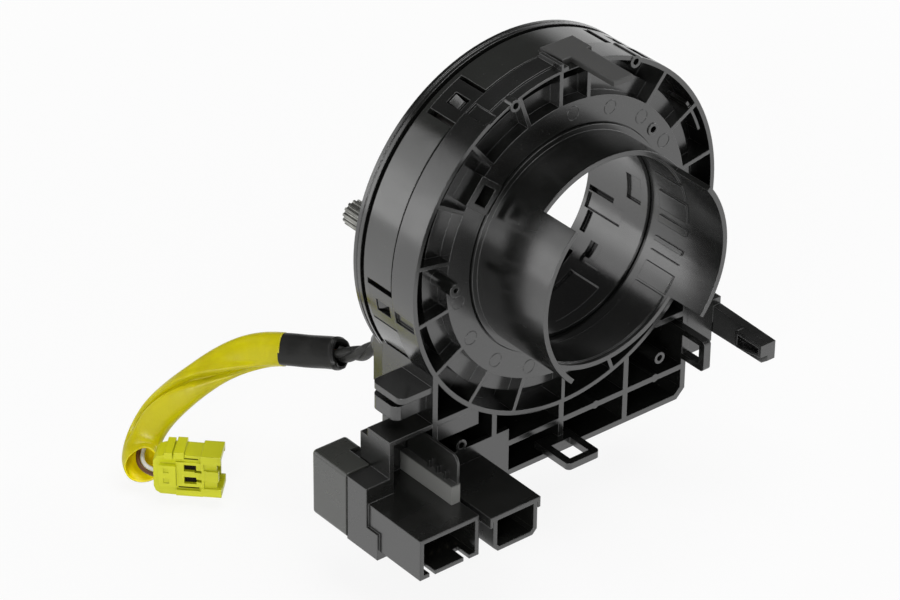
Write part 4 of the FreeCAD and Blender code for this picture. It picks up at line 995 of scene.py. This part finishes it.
def floor_material():
    """A pale floor that catches the shadow, plain white to glossy rays."""
    shader = Shader("floor_white")
    path = shader.tree.nodes.new("ShaderNodeLightPath")
    fine = shader.noise(6.0, 2.0)
    tone = shader.mix(shader.math("MULTIPLY", fine, 0.02), (0.92, 0.92, 0.92), (0.90, 0.90, 0.90))
    shader.set(Base_Color=tone, Roughness=0.8, Specular_IOR_Level=0.2)
    glow = shader.tree.nodes.new("ShaderNodeEmission")
    glow.inputs["Strength"].default_value = 1.0
    mix = shader.tree.nodes.new("ShaderNodeMixShader")
    reach = shader.tree.nodes.new("ShaderNodeVectorMath")
    reach.operation = "LENGTH"
    shader.tree.links.new(shader.coordinates, reach.inputs[0])
    share = shader.spread(reach.outputs["Value"], *FLOOR_FADE, FLOOR_NEAR_WHITE, 1.0)
    seen = shader.math("MULTIPLY", path.outputs["Is Camera Ray"], share)
    shader.link(shader.math("MAXIMUM", seen, path.outputs["Is Glossy Ray"]), mix.inputs[0])
    shader.tree.links.new(shader.surface.outputs[0], mix.inputs[1])
    shader.tree.links.new(glow.outputs[0], mix.inputs[2])
    shader.tree.links.new(mix.outputs[0], shader.output.inputs["Surface"])
    return shader.material


def build_floor(height):
    bm = bmesh.new()
    bmesh.ops.create_grid(bm, x_segments=8, y_segments=8, size=FLOOR_HALF)
    mesh = bpy.data.meshes.new("floor")
    bm.to_mesh(mesh)
    bm.free()
    for vertex in mesh.vertices:
        vertex.co.z = height
    mesh.materials.append(floor_material())
    link_object("floor", mesh)


# Operators and panel


class CLOCKSPRING_OT_stage(bpy.types.Operator):
    """Adds the camera, the floor, the surroundings and the lamps"""

    bl_idname = "clockspring.stage"
    bl_label = "Stage"

    def execute(self, context):
        settings = context.scene.clock_spring_stage
        build_camera()
        build_world(settings.world_level)
        build_floor(settings.floor_height)
        context.scene.view_settings.view_transform = "Standard"
        for lamp in LAMPS:
            area_light(*lamp)
        return {"FINISHED"}


class CLOCKSPRING_OT_finish(bpy.types.Operator):
    """Gives every moulded and metal piece its finish"""

    bl_idname = "clockspring.finish"
    bl_label = "Finishes"

    def execute(self, context):
        finish_materials()
        for name, slot_name in SLOT_OF.items():
            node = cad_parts[name]
            node.data.materials.clear()
            node.data.materials.append(material(slot_name))
        for name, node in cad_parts.items():
            if not node.data.materials:
                raise RuntimeError(f"{name} has no finish")
        return {"FINISHED"}


class CLOCKSPRING_OT_lead(bpy.types.Operator):
    """Builds the airbag lead, its sleeves and its plug"""

    bl_idname = "clockspring.lead"
    bl_label = "Airbag lead"

    def execute(self, context):
        build_lead()
        return {"FINISHED"}


class CLOCKSPRING_OT_marks(bpy.types.Operator):
    """Adds the thin ejector marks of the annular face"""

    bl_idname = "clockspring.marks"
    bl_label = "Ejector marks"

    def execute(self, context):
        build_marks()
        return {"FINISHED"}


class CLOCKSPRING_PT_panel(bpy.types.Panel):
    """Sizes, colours and steps of the clock spring"""

    bl_idname = "CLOCKSPRING_PT_panel"
    bl_label = "Steering clock spring"
    bl_space_type = "VIEW_3D"
    bl_region_type = "UI"
    bl_category = "Clock spring"

    def draw(self, context):
        layout = self.layout
        for group in (context.scene.clock_spring_finish, context.scene.clock_spring_lead,
                      context.scene.clock_spring_stage):
            box = layout.box()
            for name in group.__annotations__:
                box.prop(group, name)
        for operator in OPERATORS:
            layout.operator(operator.bl_idname)


GROUPS = (ClockSpringFinish, ClockSpringLead, ClockSpringStage)
OPERATORS = (CLOCKSPRING_OT_stage, CLOCKSPRING_OT_finish, CLOCKSPRING_OT_lead,
             CLOCKSPRING_OT_marks)


def register():
    for item in (*GROUPS, *OPERATORS, CLOCKSPRING_PT_panel):
        bpy.utils.register_class(item)
    bpy.types.Scene.clock_spring_finish = bpy.props.PointerProperty(type=ClockSpringFinish)
    bpy.types.Scene.clock_spring_lead = bpy.props.PointerProperty(type=ClockSpringLead)
    bpy.types.Scene.clock_spring_stage = bpy.props.PointerProperty(type=ClockSpringStage)


def unregister():
    for name in ("clock_spring_finish", "clock_spring_lead", "clock_spring_stage"):
        delattr(bpy.types.Scene, name)
    for item in reversed((*GROUPS, *OPERATORS, CLOCKSPRING_PT_panel)):
        bpy.utils.unregister_class(item)


def main():
    register()
    bpy.ops.clockspring.stage()
    bpy.ops.clockspring.finish()
    bpy.ops.clockspring.lead()
    bpy.ops.clockspring.marks()


if __name__ == "__main__":
    main()
